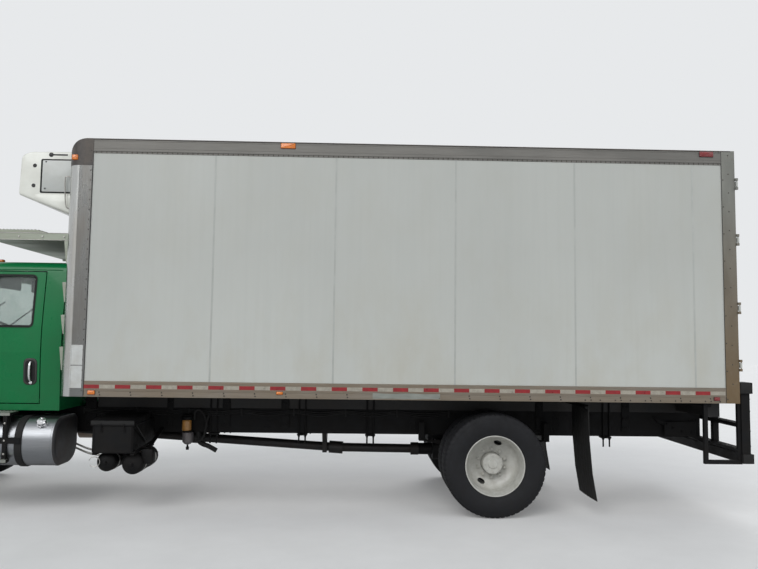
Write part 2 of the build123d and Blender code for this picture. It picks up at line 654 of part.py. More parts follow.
with BuildPart() as hood:
    add(fender_form(0))
    mirror(about=Plane.XZ)
    add(cover_form(0, HOOD_REAR))
    with BuildPart(mode=Mode.PRIVATE) as inside:
        add(fender_form(HOOD_SKIN))
        mirror(about=Plane.XZ)
        block(FENDER_REAR + HOOD_SKIN, 4774, -FENDER_HALF + HOOD_SKIN, FENDER_HALF - HOOD_SKIN, 700, 900)
    add(cover_form(HOOD_SKIN, HOOD_REAR - 40), mode=Mode.SUBTRACT)
    add(inside.part, mode=Mode.SUBTRACT)
    block(3200, HOOD_REAR - 2, -1032, 1032, 700, 1800, Mode.SUBTRACT)
    with BuildSketch(Plane.XZ.offset(-1300)) as arch:
        with Locations((FRONT_AXLE_X, AXLE_Z)):
            RegularPolygon(ARCH_R, 32, major_radius=False)
    extrude(arch.sketch, amount=2600, mode=Mode.SUBTRACT)
    front_slab([(-430, 900), (430, 900), (400, 1320), (-400, 1320)], 4700, 4900, Mode.SUBTRACT, radius=30)
    for side in (-1, 1):
        front_slab(lamp_outline(side), 4700, 4900, Mode.SUBTRACT)
        block(PIVOT_X - 12, HOOD_FRONT - 4, side * 390 - 8, side * 390 + 8, PIVOT_Z - 12, 850)
        with Locations((PIVOT_X, side * 390, PIVOT_Z)):
            Cylinder(7.05, 60, rotation=(90, 0, 0), mode=Mode.SUBTRACT)
keep(hood.part, "hood")

# Grille: bars in a frame
with BuildPart() as grille:
    front_slab([(-430, 900), (430, 900), (400, 1320), (-400, 1320)], HOOD_FRONT - 24, HOOD_FRONT + 8, radius=30)
    front_slab([(-392, 936), (392, 936), (366, 1286), (-366, 1286)],
               HOOD_FRONT - 30, HOOD_FRONT + 12, Mode.SUBTRACT)
    for row in range(6):
        z = 962 + row * 58
        side_slab([(HOOD_FRONT - 20, z), (HOOD_FRONT + 2, z + 10), (HOOD_FRONT + 2, z + 22),
                   (HOOD_FRONT - 20, z + 22)], -390, 390)
keep(grille.part, "grille")

# Headlamps in the fenders' noses
with BuildPart() as headlamps:
    for side in (-1, 1):
        front_slab(lamp_outline(side), HOOD_FRONT - 60, HOOD_FRONT + 4)
keep(headlamps.part, "headlamps")

# Load floor on its long sills, with a cross sill at the rear
with BuildPart() as box_floor:
    plan_slab([(FRAME_EDGE, -WALL_IN), (1915, -WALL_IN), (FRONT_WALL_IN, -1160), (FRONT_WALL_IN, 1160),
               (1915, WALL_IN), (FRAME_EDGE, WALL_IN)], BOX_BOTTOM + 8, FLOOR_TOP)
    for side in (-1, 1):
        block(RAIL_REAR, 1960, side * 392 - 40, side * 392 + 40, RAIL_TOP, BOX_BOTTOM)
        block(FRAME_EDGE + 1, 1960, side * 392 - 40, side * 392 + 40, BOX_BOTTOM, BOX_BOTTOM + 8)
    block(FRAME_EDGE + 1, -4455, -1150, 1150, 1030, BOX_BOTTOM + 8)
keep(box_floor.part, "box_floor")

# Side walls between the rails
with BuildPart() as box_wall:
    block(FRAME_EDGE, POST_EDGE, WALL_IN, PANEL_OUT, BOTTOM_RAIL_TOP, TOP_RAIL_BOTTOM)
keep_pair(box_wall.part, "box_wall")

# Bottom and top rails, ribbed aluminium sections along both sides
with BuildPart() as box_rails:
    front_slab([(WALL_IN, BOX_BOTTOM), (1293, BOX_BOTTOM), (1293, 1232), (BOX_HALF, 1236), (BOX_HALF, 1322),
                (1293, 1326), (PANEL_OUT, BOTTOM_RAIL_TOP), (WALL_IN, BOTTOM_RAIL_TOP)], FRAME_EDGE, POST_EDGE)
    front_slab([(WALL_IN, TOP_RAIL_BOTTOM), (PANEL_OUT, TOP_RAIL_BOTTOM), (1293, 3632), (BOX_HALF, 3636),
                (BOX_HALF, 3750), (1285, BOX_TOP), (WALL_IN, BOX_TOP)], FRAME_EDGE, POST_EDGE)
    mirror(about=Plane.XZ)
keep(box_rails.part, "box_rails")


BULGE = 1 - cos(radians(45))


def crown_outline(inner):
    """The box's front edge from the side, with its rounded crown; inner is the wall's back face."""
    with BuildSketch(Plane.XZ.offset(-1300)) as outline:
        with BuildLine():
            Polyline((inner, BOX_BOTTOM), (BOX_FRONT, BOX_BOTTOM), (BOX_FRONT, BOX_TOP - CROWN_R))
            ThreePointArc((BOX_FRONT, BOX_TOP - CROWN_R),
                          (BOX_FRONT - CROWN_R * BULGE, BOX_TOP - CROWN_R * BULGE),
                          (BOX_FRONT - CROWN_R, BOX_TOP))
            Polyline((BOX_FRONT - CROWN_R, BOX_TOP), (inner, BOX_TOP), (inner, BOX_BOTTOM))
        make_face()
    return outline.sketch


# Front wall with the rounded crown
POST_IN_Y = BOX_HALF - CORNER_R
with BuildPart() as box_wall_front:
    extrude(crown_outline(POST_EDGE), amount=2600)
    block(1700, 2100, -1400, -POST_IN_Y, 1000, 3800, Mode.SUBTRACT)
    block(1700, 2100, POST_IN_Y, 1400, 1000, 3800, Mode.SUBTRACT)
    side_slab([(1700, 1100), (1700, ROOF_IN), (1880, ROOF_IN), (FRONT_WALL_IN, 3600), (FRONT_WALL_IN, 1100)],
              -1300, 1300, Mode.SUBTRACT)
keep(box_wall_front.part, "box_wall_front")

# Front corner posts: a rounded upright under a rounded crown
with BuildPart() as box_front_posts:
    with BuildSketch(Plane.XY.offset(BOX_BOTTOM)):
        with BuildLine():
            Line((POST_EDGE, BOX_HALF), (BOX_FRONT - CORNER_R, BOX_HALF))
            ThreePointArc((BOX_FRONT - CORNER_R, BOX_HALF),
                          (BOX_FRONT - CORNER_R * BULGE, BOX_HALF - CORNER_R * BULGE), (BOX_FRONT, POST_IN_Y))
            Polyline((BOX_FRONT, POST_IN_Y), (FRONT_WALL_IN, POST_IN_Y), (1920, WALL_IN),
                     (POST_EDGE, WALL_IN), (POST_EDGE, BOX_HALF))
        make_face()
    extrude(amount=BOX_TOP - BOX_BOTTOM)
    extrude(crown_outline(1700), amount=2600, mode=Mode.INTERSECT)
    mirror(about=Plane.XZ)
keep(box_front_posts.part, "box_front_posts")

# Roof slab
with BuildPart() as box_roof:
    block(FRAME_EDGE, POST_EDGE, -WALL_IN, WALL_IN, ROOF_IN, BOX_TOP)
keep(box_roof.part, "box_roof")

# Rear frame: posts, header and sill round the door opening, with the hinge butts
DOOR_SIDE = 1195
SILL_TOP = 1395
HEADER_BOTTOM = 3590
REAR_HINGE_Z = (1560, 2140, 2840, 3420)
with BuildPart() as box_rear_frame:
    with BuildSketch(Plane.YZ.offset(BOX_REAR)):
        with Locations((0, (BOX_BOTTOM + BOX_TOP) / 2)):
            Rectangle(2 * BOX_HALF, BOX_TOP - BOX_BOTTOM)
        with Locations((0, (SILL_TOP + HEADER_BOTTOM) / 2)):
            Rectangle(2 * DOOR_SIDE, HEADER_BOTTOM - SILL_TOP, mode=Mode.SUBTRACT)
    extrude(amount=FRAME_EDGE - BOX_REAR)
    for side in (-1, 1):
        for z in REAR_HINGE_Z:
            for end in (-1, 1):
                middle = z + end * 46
                y0, y1 = sorted((side * (BOX_HALF - 12), side * (REAR_HINGE_Y + 9)))
                block(REAR_HINGE_X - 9, BOX_REAR, y0, y1, middle - 13, middle + 13)
            with Locations((REAR_HINGE_X, side * REAR_HINGE_Y, z)):
                Cylinder(5, 66)
    block(BOX_REAR - 18, BOX_REAR, -960, 960, 3606, 3640)
keep(box_rear_frame.part, "box_rear_frame")

# Rear doors: insulated panels with stepped edges, hinge straps and barrels
with BuildPart() as rear_door:
    block(REAR_DOOR_OUT, REAR_DOOR_OUT + 18, 6, DOOR_SIDE - 6, SILL_TOP + 6, HEADER_BOTTOM - 6)
    block(REAR_DOOR_OUT + 18, REAR_DOOR_OUT + 75, 20, DOOR_SIDE - 16, SILL_TOP + 18, HEADER_BOTTOM - 18)
    for z in REAR_HINGE_Z:
        block(REAR_DOOR_OUT - 8, REAR_DOOR_OUT, 860, DOOR_SIDE - 8, z - 26, z + 26)
        block(REAR_HINGE_X, REAR_DOOR_OUT, DOOR_SIDE - 45, DOOR_SIDE - 8, z - 26, z + 26)
        block(REAR_HINGE_X, REAR_HINGE_X + 10, DOOR_SIDE - 45, REAR_HINGE_Y, z - 26, z + 26)
        post(REAR_HINGE_X, REAR_HINGE_Y, z - 26, z + 26, 10)
        with Locations((REAR_HINGE_X, REAR_HINGE_Y, z)):
            Cylinder(5.05, 60, mode=Mode.SUBTRACT)
keep_pair(rear_door.part, "rear_door")

# Lock rods on the doors, with guides, cams and handles
LOCK_ROD_Y = (210, 800)
with BuildPart() as lock_rods:
    for y in LOCK_ROD_Y:
        rod((REAR_DOOR_OUT - 21, y, SILL_TOP + 12), (REAR_DOOR_OUT - 21, y, HEADER_BOTTOM - 12), 12, 8)
        for z in (1520, 2050, 2700, 3380):
            block(REAR_DOOR_OUT - 36, REAR_DOOR_OUT, y - 30, y + 30, z - 22, z + 22)
        block(REAR_DOOR_OUT - 36, REAR_DOOR_OUT - 26, y - 10, y + 330, 1850, 1896)
        block(REAR_DOOR_OUT - 36, REAR_DOOR_OUT, y + 270, y + 320, 1840, 1906)
keep_pair(lock_rods.part, "lock_rods")

# Marker and tail lamps
# columns: x, y, z, size along, size across, size up
LAMPS = (
    (1735, 1300, 1220, 78, 14, 45),
    (-112, 1300, 1233, 70, 14, 34),
    (-4500, 1300, 1223, 65, 14, 40),
    (-142, 1300, 3725, 155, 14, 60),
    (-4443, 1300, 3725, 150, 14, 60),
    (2030, 1250, 3598, 60, 60, 40),
    (BOX_REAR - 6, 1200, 3700, 16, 90, 40),
    (BOX_REAR - 6, 1040, 1240, 24, 110, 96),
    (BOX_REAR - 6, 880, 1240, 24, 110, 96),
    (BOX_REAR - 6, 300, 3700, 16, 70, 36),
    (2900, 700, CAB_TOP + 12, 110, 90, 30),
    (2900, 300, CAB_TOP + 12, 110, 90, 30),
)
with BuildPart() as marker_lamps:
    for x, y, z, along, across, up in LAMPS:
        block(x - along / 2, x + along / 2, y - across / 2, y + across / 2, z - up / 2, z + up / 2)
    mirror(about=Plane.XZ)
    for x, y, z, along, across, up in LAMPS[-3:]:
        block(x - along / 2, x + along / 2, -across / 2, across / 2, z - up / 2, z + up / 2)
    add(box_wall_front.part, mode=Mode.SUBTRACT)
    add(box_front_posts.part, mode=Mode.SUBTRACT)
    add(box_rails.part, mode=Mode.SUBTRACT)
    add(box_rear_frame.part, mode=Mode.SUBTRACT)
    add(cab_shell.part, mode=Mode.SUBTRACT)
keep(marker_lamps.part, "marker_lamps")

# Refrigeration unit on the front wall, and its evaporator inside
with BuildPart() as reefer_unit:
    side_slab([(BOX_FRONT, 3040), (2150, 3040), (2654, 3245), (2640, 3644), (2560, 3690), (BOX_FRONT, 3700)],
              -1000, 1000)
    fillet(reefer_unit.edges().filter_by(Axis.Z, tolerance=4).group_by(Axis.X)[-1], 70)
    block(1700, FRONT_WALL_IN, -620, 620, 3290, 3560)
keep(reefer_unit.part, "reefer_unit")

# Catwalk over the cab, and the steps on the front corner
with BuildPart() as catwalk:
    for side in (-1, 1):
        side_slab([(BOX_FRONT, 2620), (2150, 2750), (3000, 2750), (3000, 2826), (BOX_FRONT, 2826)],
                  side * 1040 - 20, side * 1040 + 20)
    block(BOX_FRONT, 3000, -1040, 1040, 2770, 2800)
    side_slab([(2290, 2790), (2290, 2815), (2470, 2865), (3000, 2865), (3000, 2790)], -1000, 1000)
    for z0, z1 in ((2510, 2730), (2110, 2310), (1790, 1980), (1430, 1660)):
        for y in (1070, 1180):
            side_slab([(BOX_FRONT, z0), (2082, z0), (2105, z1 - 30), (2105, z1), (BOX_FRONT, z1)], y - 5, y + 5)
        block(BOX_FRONT, 2108, 1065, 1185, z1 - 10, z1)
keep(catwalk.part, "catwalk")

# Front wheels: tyre and rim with drum and hub
for side, name in ((1, "left"), (-1, "right")):
    with BuildPart() as front_tyre:
        turned(axle_plane(FRONT_AXLE_X), [(side * y, r) for y, r in tyre_profile(FRONT_TYRE_Y)], WHEEL_SIDES)
    keep(front_tyre.part, f"front_tyre_{name}")
    rim_out = [(900, 270), (900, BEAD_R), (1112, BEAD_R), (1142, 170), (1142, 105), (1180, 78), (1180, 0), (960, 0),
               (960, 195), (1095, 195), (1090, 270)]
    with BuildPart() as front_rim:
        turned(axle_plane(FRONT_AXLE_X), [(side * y, r) for y, r in rim_out], WHEEL_SIDES)
        rod((FRONT_AXLE_X, side * 940, AXLE_Z), (FRONT_AXLE_X, side * 1150, AXLE_Z), 34.05, mode=Mode.SUBTRACT)
        y0, y1 = sorted((side * 1060, side * 1200))
        hand_holes(FRONT_AXLE_X, y0, y1)
    keep(front_rim.part, f"front_rim_{name}")

# Twin rear wheels: two tyres, and two rims back to back with the drum
for side, name in ((1, "left"), (-1, "right")):
    with BuildPart() as rear_tyres:
        turned(axle_plane(REAR_AXLE_X), [(side * y, r) for y, r in tyre_profile(REAR_OUTER_Y)], WHEEL_SIDES)
        turned(axle_plane(REAR_AXLE_X), [(side * y, r) for y, r in tyre_profile(REAR_INNER_Y)], WHEEL_SIDES)
    keep(rear_tyres.part, f"rear_tyres_{name}")
    rim_pair = [(632, 268), (632, BEAD_R), (842, BEAD_R), (893, 175), (916, 175), (967, BEAD_R), (1176, BEAD_R),
                (1176, 270), (1000, 268), (932, 160), (932, 108), (1080, 92), (1080, 0), (700, 0), (700, 200),
                (855, 200), (815, 268)]
    with BuildPart() as rear_rims:
        turned(axle_plane(REAR_AXLE_X), [(side * y, r) for y, r in rim_pair], WHEEL_SIDES)
        rod((REAR_AXLE_X, side * 680, AXLE_Z), (REAR_AXLE_X, side * 985, AXLE_Z), 45.05, mode=Mode.SUBTRACT)
        y0, y1 = sorted((side * 870, side * 1010))
        hand_holes(REAR_AXLE_X, y0, y1)
    keep(rear_rims.part, f"rear_rims_{name}")
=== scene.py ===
"""Looks of the refrigerated truck, laid out as a Blender add-on and run as a script."""
import json
from math import cos, pi, radians, sin

import bmesh
import bpy
import numpy as np
from bpy.props import FloatProperty, FloatVectorProperty, IntProperty, PointerProperty
from mathutils import Matrix, Vector

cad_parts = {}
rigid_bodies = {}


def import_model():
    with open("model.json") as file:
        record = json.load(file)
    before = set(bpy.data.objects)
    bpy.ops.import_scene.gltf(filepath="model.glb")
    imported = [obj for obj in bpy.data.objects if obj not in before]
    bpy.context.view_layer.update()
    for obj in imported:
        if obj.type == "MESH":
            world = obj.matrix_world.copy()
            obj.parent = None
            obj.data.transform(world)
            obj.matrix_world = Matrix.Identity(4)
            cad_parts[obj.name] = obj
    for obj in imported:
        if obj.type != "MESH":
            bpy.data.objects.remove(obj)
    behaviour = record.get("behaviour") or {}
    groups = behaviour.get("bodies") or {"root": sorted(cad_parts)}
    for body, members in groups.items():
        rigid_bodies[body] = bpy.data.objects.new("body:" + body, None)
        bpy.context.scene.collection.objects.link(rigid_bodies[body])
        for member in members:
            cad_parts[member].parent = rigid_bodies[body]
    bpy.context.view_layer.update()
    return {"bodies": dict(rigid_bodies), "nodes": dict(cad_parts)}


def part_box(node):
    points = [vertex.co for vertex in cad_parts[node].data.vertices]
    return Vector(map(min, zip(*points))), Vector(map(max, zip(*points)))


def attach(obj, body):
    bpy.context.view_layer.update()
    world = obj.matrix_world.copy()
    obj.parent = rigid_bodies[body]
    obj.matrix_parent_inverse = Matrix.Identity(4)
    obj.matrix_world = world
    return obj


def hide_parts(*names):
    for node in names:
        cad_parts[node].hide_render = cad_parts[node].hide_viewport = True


bl_info = {
    "name": "Refrigerated truck looks",
    "version": (1, 0, 0),
    "blender": (4, 5, 0),
    "location": "3D View > Sidebar > Truck",
    "description": "Dresses the packed refrigerated truck with modelled details and procedural finishes",
    "category": "Object",
}

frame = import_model()


def reach(node):
    """The lowest and highest corner of a node of the frame, as one 2 by 3 array."""
    return np.array([list(corner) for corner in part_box(node)])


WALL = reach("box_wall_left")
RAILS = reach("box_rails")
POSTS = reach("box_front_posts")
SIDE_Y = RAILS[1, 1]
PANEL_Y = WALL[1, 1]
PANEL_FRONT, PANEL_REAR = WALL[1, 0], WALL[0, 0]
PANEL_LOW, PANEL_HIGH = WALL[0, 2], WALL[1, 2]
BOX_FRONT = POSTS[1, 0]
BOX_REAR = -4.737  # the rear frame's face, without its hinge plates
DOOR_FACE = -4.697  # the rear doors' outer face
WEB_Y = 0.432  # the outer face of the chassis rails
CAP_LOW = 3.488  # the lower edge of the front corners' dark caps
FLANGE_LOW = 3.613  # the lower edge of the top rail's flange
TAPE_Z = 1.278  # the middle of the tape on the bottom rail
BOX_LOW, BOX_HIGH = RAILS[0, 2], RAILS[1, 2]
SIDES = ((1, "left"), (-1, "right"))
AHEAD, BACK, LEFT, UP, DOWN = (1, 0, 0), (-1, 0, 0), (0, 1, 0), (0, 0, 1), (0, 0, -1)
SMOOTH_UNDER = 34  # degrees: edges flatter than this are shaded smooth


# Shapes: each is (points, four-cornered faces, many-cornered ends)
def join(shapes):
    """One shape from several, with the point numbers of each raised by the points before it."""
    points, quads, ends, count = [], [], [], 0
    for shape_points, shape_quads, shape_ends in shapes:
        points.append(shape_points)
        quads.append(shape_quads + count)
        ends += [ring + count for ring in shape_ends]
        count += len(shape_points)
    return np.concatenate(points), np.concatenate(quads), ends


def loft(rings, around=True, capped=True, looped=False):
    """A skin over cross-sections: face (i, j) joins points j and j + 1 of section i with those of section i + 1."""
    sections, size = rings.shape[:2]
    i, j = np.meshgrid(np.arange(sections if looped else sections - 1),
                       np.arange(size if around else size - 1), indexing="ij")
    i1, j1 = (i + 1) % sections, (j + 1) % size
    quads = np.stack([i * size + j, i * size + j1, i1 * size + j1, i1 * size + j], -1).reshape(-1, 4)
    ends = []
    if capped and around and not looped:
        ends = [np.arange(size)[::-1], np.arange(size) + (sections - 1) * size]
    return rings.reshape(-1, 3), quads, ends


def inset(outline, by):
    """The closed outline drawn in: each corner moves along its bisector, so that both edges move by that much."""
    before = outline - np.roll(outline, 1, 0)
    after = np.roll(outline, -1, 0) - outline
    x, y = outline.T
    turn = np.sign(np.sum(x * np.roll(y, -1) - y * np.roll(x, -1)))
    normals = []
    for edge in (before, after):
        length = np.maximum(np.linalg.norm(edge, axis=1), 1e-9)[:, None]
        normals.append(turn * np.stack([-edge[:, 1], edge[:, 0]], 1) / length)
    bisector = normals[0] + normals[1]
    size = np.maximum(np.sum(bisector ** 2, 1), 0.6)[:, None]
    return outline + bisector * 2 * by / size


def rounded(outline, radius, steps=3):
    """The closed outline with each corner replaced by a parabola that leaves its edges a radius from the corner."""
    outline = np.asarray(outline, float)
    back = np.roll(outline, 1, 0) - outline
    ahead = np.roll(outline, -1, 0) - outline
    radius = np.broadcast_to(np.asarray(radius, float), (len(outline),))
    arms = []
    for way in (back, ahead):
        length = np.maximum(np.linalg.norm(way, axis=1), 1e-9)
        arms.append(outline + way * (np.minimum(radius, 0.49 * length) / length)[:, None])
    t = np.linspace(0, 1, steps + 1)[None, :, None]
    curve = arms[0][:, None] * (1 - t) ** 2 + outline[:, None] * 2 * t * (1 - t) + arms[1][:, None] * t ** 2
    return curve.reshape(-1, 2)


AXES = {"xz": (0, 2, 1), "yz": (1, 2, 0), "xy": (0, 1, 2)}


def stack(plane, outline, levels):
    """The outline, or what it gives as a function of the draw, carried through levels of (depth, drawn in by)."""
    first, second, along = AXES[plane]
    drawn = [outline(by) if callable(outline) else inset(np.asarray(outline, float), by) for _, by in levels]
    rings = np.zeros((len(levels), len(drawn[0]), 3))
    for number, ((depth, _), ring) in enumerate(zip(levels, drawn)):
        rings[number, :, first] = ring[:, 0]
        rings[number, :, second] = ring[:, 1]
        rings[number, :, along] = depth
    return loft(rings)


def slab(plane, outline, low, high, edge=0.0, steps=1):
    """The outline carried straight from low to high, both ends drawn in along a quarter circle of radius edge."""
    turn = np.linspace(0, pi / 2, steps + 1) if edge else np.array([pi / 2])
    drawn = edge * (1 - np.sin(turn))
    rise = edge * (1 - np.cos(turn))
    near = [*zip(low + rise, drawn)]
    far = [*zip(high - rise, drawn)]
    return stack(plane, outline, near + far[::-1])


def oblong(a0, a1, b0, b1):
    """The four corners of a rectangle between two values on each axis."""
    return np.array([(a0, b0), (a1, b0), (a1, b1), (a0, b1)], float)


def block(x0, x1, y0, y1, z0, z1, edge=0.002):
    """A block with all its edges cut off a little."""
    return slab("xy", rounded(oblong(x0, x1, y0, y1), edge, 1), z0, z1, edge)


def across(direction):
    """Two unit vectors at right angles to a direction and to each other."""
    direction = np.asarray(direction, float) / np.linalg.norm(direction)
    helper = np.array((0.0, 0.0, 1.0)) if abs(direction[2]) < 0.9 else np.array((1.0, 0.0, 0.0))
    side = np.cross(helper, direction)
    side /= np.linalg.norm(side)
    return side, np.cross(direction, side)


def bar(start, end, width, height, edge=0.002, roll=0.0):
    """A straight bar of rectangular section from one point to another, with its edges cut off a little."""
    start, end = np.asarray(start, float), np.asarray(end, float)
    run = end - start
    length = np.linalg.norm(run)
    side, up = across(run)
    side, up = side * cos(roll) + up * sin(roll), up * cos(roll) - side * sin(roll)
    section = rounded(oblong(-width / 2, width / 2, -height / 2, height / 2), edge, 1)
    rings = []
    for along, ring in ((0, inset(section, edge)), (edge, section), (length - edge, section),
                        (length, inset(section, edge))):
        rings.append(start + run / length * along + ring[:, :1] * side + ring[:, 1:] * up)
    return loft(np.array(rings))


def smooth(points, steps=6):
    """A curve through the points: cubic pieces whose slope at each point is half the step between its neighbours."""
    points = np.asarray(points, float)
    padded = np.concatenate([[2 * points[0] - points[1]], points, [2 * points[-1] - points[-2]]])
    before, here, there, after = padded[:-3], padded[1:-2], padded[2:-1], padded[3:]
    t = np.linspace(0, 1, steps, endpoint=False)[None, :, None]
    slope_in = (there - before)[:, None] / 2
    slope_out = (after - here)[:, None] / 2
    curve = ((2 * t ** 3 - 3 * t ** 2 + 1) * here[:, None] + (t ** 3 - 2 * t ** 2 + t) * slope_in
             + (3 * t ** 2 - 2 * t ** 3) * there[:, None] + (t ** 3 - t ** 2) * slope_out)
    return np.concatenate([curve.reshape(-1, 3), points[-1:]])


def carry(section, path, looped=False):
    """A closed section carried along a path, kept upright to the direction in which the path varies least."""
    path = np.asarray(path, float)
    tangent = np.roll(path, -1, 0) - np.roll(path, 1, 0) if looped else np.gradient(path, axis=0)
    tangent /= np.linalg.norm(tangent, axis=1)[:, None]
    level = np.linalg.svd(path - path.mean(0))[2][2]
    if abs(tangent @ level).max() > 0.9:
        level = across(tangent[0])[0]
    side = np.cross(level, tangent)
    side /= np.linalg.norm(side, axis=1)[:, None]
    up = np.cross(tangent, side)
    section = np.asarray(section, float)
    rings = path[:, None] + section[None, :, :1] * side[:, None] + section[None, :, 1:] * up[:, None]
    return loft(rings, looped=looped)


def circle(radius, sides):
    """A regular outline round the origin."""
    turn = np.linspace(0, 2 * pi, sides, endpoint=False)
    return np.stack([radius * np.cos(turn), radius * np.sin(turn)], 1)


def tube(points, radius, sides=12, steps=6):
    """A round tube along a smooth curve through the points."""
    return carry(circle(radius, sides), smooth(points, steps) if steps > 1 else points)


def lathe(profile, centre, axis, sides=64, looped=False):
    """A profile of (along, radius) points turned round an axis through the centre."""
    profile = np.asarray(profile, float)
    axis = np.asarray(axis, float) / np.linalg.norm(axis)
    side, up = across(axis)
    turn = np.linspace(0, 2 * pi, sides, endpoint=False)[None, :, None]
    radius = profile[:, 1][:, None, None]
    out = np.cos(turn) * side + np.sin(turn) * up
    rings = np.asarray(centre) + profile[:, 0][:, None, None] * axis + radius * out
    return loft(rings, looped=looped)


def studs(centres, axis, profile, sides=6):
    """The same small turned shape at many places, in one array of places by sections by sides."""
    points, quads, ends = lathe(profile, (0, 0, 0), axis, sides)
    centres = np.asarray(centres, float).reshape(-1, 3)
    numbers = np.arange(len(centres)) * len(points)
    every = (centres[:, None] + points[None]).reshape(-1, 3)
    faces = (quads[None] + numbers[:, None, None]).reshape(-1, 4)
    caps = [ring + number for number in numbers for ring in ends]
    return every, faces, caps


RIVET = [(-0.001, 0.0045), (0.0008, 0.0044), (0.0018, 0.003), (0.0021, 0.001)]
BOLT = [(-0.001, 0.013), (0.002, 0.013), (0.002, 0.010), (0.011, 0.010), (0.012, 0.008)]


def scaled(profile, factor):
    """A profile made larger or smaller all over."""
    return [(along * factor, radius * factor) for along, radius in profile]


def shell(grid, thick):
    """A sheet with a thickness: the grid of points and a copy moved along its normals, joined round the edges."""
    rows = np.gradient(grid, axis=0)
    columns = np.gradient(grid, axis=1)
    normal = np.cross(rows, columns)
    normal /= np.maximum(np.linalg.norm(normal, axis=2), 1e-12)[:, :, None]
    back = grid - normal * thick
    rings = np.concatenate([grid, back[:, ::-1]], 1)
    points, quads, _ = loft(rings, capped=False)
    size = grid.shape[1]
    j = np.arange(size - 1)
    first = np.stack([j, j + 1, 2 * size - 2 - j, 2 * size - 1 - j], 1)
    last = first + (grid.shape[0] - 1) * 2 * size
    return points, np.concatenate([quads, first, last]), []


def moved(shape, by=(0, 0, 0), scale=(1, 1, 1)):
    """A shape scaled about the origin, then shifted."""
    points, quads, ends = shape
    return points * np.array(scale) + np.array(by), quads, ends


def both(*shapes):
    """Shapes of the left side with their mirror images on the right."""
    return list(shapes) + [moved(shape, scale=(1, -1, 1)) for shape in shapes]


def sided(shapes, side):
    """Shapes of the left side as they are for side 1, or their mirror images for side -1."""
    return [moved(shape, scale=(1, side, 1)) for shape in shapes]


def row(x, y, z):
    """Points from three coordinates, of which any may be one number for all of them."""
    return np.stack(np.broadcast_arrays(x, y, z), -1)


def pad(plane, a0, a1, b0, b1, radius, steps, *depth):
    """A slab whose outline is a rectangle with rounded corners."""
    return slab(plane, rounded(oblong(a0, a1, b0, b1), radius, steps), *depth)


def mesh_of(name, shapes):
    """One mesh from shapes, with its faces turned outward."""
    points, quads, ends = join(shapes)
    mesh = bpy.data.meshes.new(name)
    mesh.from_pydata(points.tolist(), [], quads.tolist() + [ring.tolist() for ring in ends])
    work = bmesh.new()
    work.from_mesh(mesh)
    bmesh.ops.recalc_face_normals(work, faces=work.faces)
    work.to_mesh(mesh)
    work.free()
    return mesh


def shade(mesh, angle):
    """Shades a mesh smooth but for edges sharper than the angle."""
    mesh.polygons.foreach_set("use_smooth", np.ones(len(mesh.polygons), bool))
    mesh.set_sharp_from_angle(angle=radians(angle))


def place(name, data):
    """A new object in the scene."""
    made = bpy.data.objects.new(name, data)
    bpy.context.scene.collection.objects.link(made)
    return made


def piece(name, shapes, slot, key, angle=SMOOTH_UNDER, replaces=(), body="root"):
    """Makes one named mesh with the finish of that key, riding on a body and standing for the nodes it replaces."""
    mesh = mesh_of(name, shapes)
    shade(mesh, angle)
    mesh.materials.append(finish(key))
    made = place(name, mesh)
    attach(made, body)
    if replaces:
        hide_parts(*replaces)
    return made


def eased(node, key, angle, edge):
    """A merged copy in the node's place, shaded smooth but for edges sharper than the angle, its edges eased."""
    kept = frame["nodes"][node]
    work = bmesh.new()
    work.from_mesh(kept.data)
    bmesh.ops.remove_doubles(work, verts=work.verts, dist=1e-5)
    bmesh.ops.dissolve_limit(work, angle_limit=radians(0.5), verts=work.verts, edges=work.edges)
    mesh = bpy.data.meshes.new(node + "_eased")
    work.to_mesh(mesh)
    work.free()
    shade(mesh, angle)
    mesh.materials.append(finish(key))
    made = place(node + "_eased", mesh)
    if edge:
        modifier = made.modifiers.new("edges", "BEVEL")
        modifier.width = edge
        modifier.segments = 2
        modifier.limit_method = "ANGLE"
        modifier.angle_limit = radians(angle)
        modifier.harden_normals = True
    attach(made, next(name for name, empty in frame["bodies"].items() if empty == kept.parent))
    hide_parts(node)


# columns: node, finish, sharpest angle shaded smooth, width of its eased edges
EASED = (
    ("hood", "cab green", 34, 0.006), ("cab_shell", "cab green", 34, 0.004),
    ("cab_door_left", "cab green", 34, 0.004), ("cab_door_right", "cab green", 34, 0.004),
    ("front_bumper", "bright", 34, 0.004), ("grille", "bright", 30, 0.002), ("muffler", "muffler", 34, 0),
    ("drive_shaft", "shaft", 40, 0.003), ("rear_axle", "chassis", 40, 0.006), ("front_axle", "chassis", 40, 0.006),
    ("knuckle_left", "chassis", 40, 0.003), ("knuckle_right", "chassis", 40, 0.003), ("tie_rod", "chassis", 50, 0),
    ("rear_step", "chassis", 34, 0.004), ("tank_steps", "chassis", 34, 0.002),
    ("chassis_frame", "chassis", 34, 0.003), ("engine", "iron", 34, 0.02),
    ("mirror_left", "black plastic", 50, 0.004), ("mirror_right", "black plastic", 50, 0.004),
    ("dashboard", "dash plastic", 34, 0.012),
)


class TRUCK_OT_eased_edges(bpy.types.Operator):
    """Give the cab's, hood's and chassis' solids round shading and eased edges"""
    bl_idname = "truck.eased_edges"
    bl_label = "Eased edges"

    def execute(self, context):
        for row in EASED:
            eased(*row)
        return {"FINISHED"}


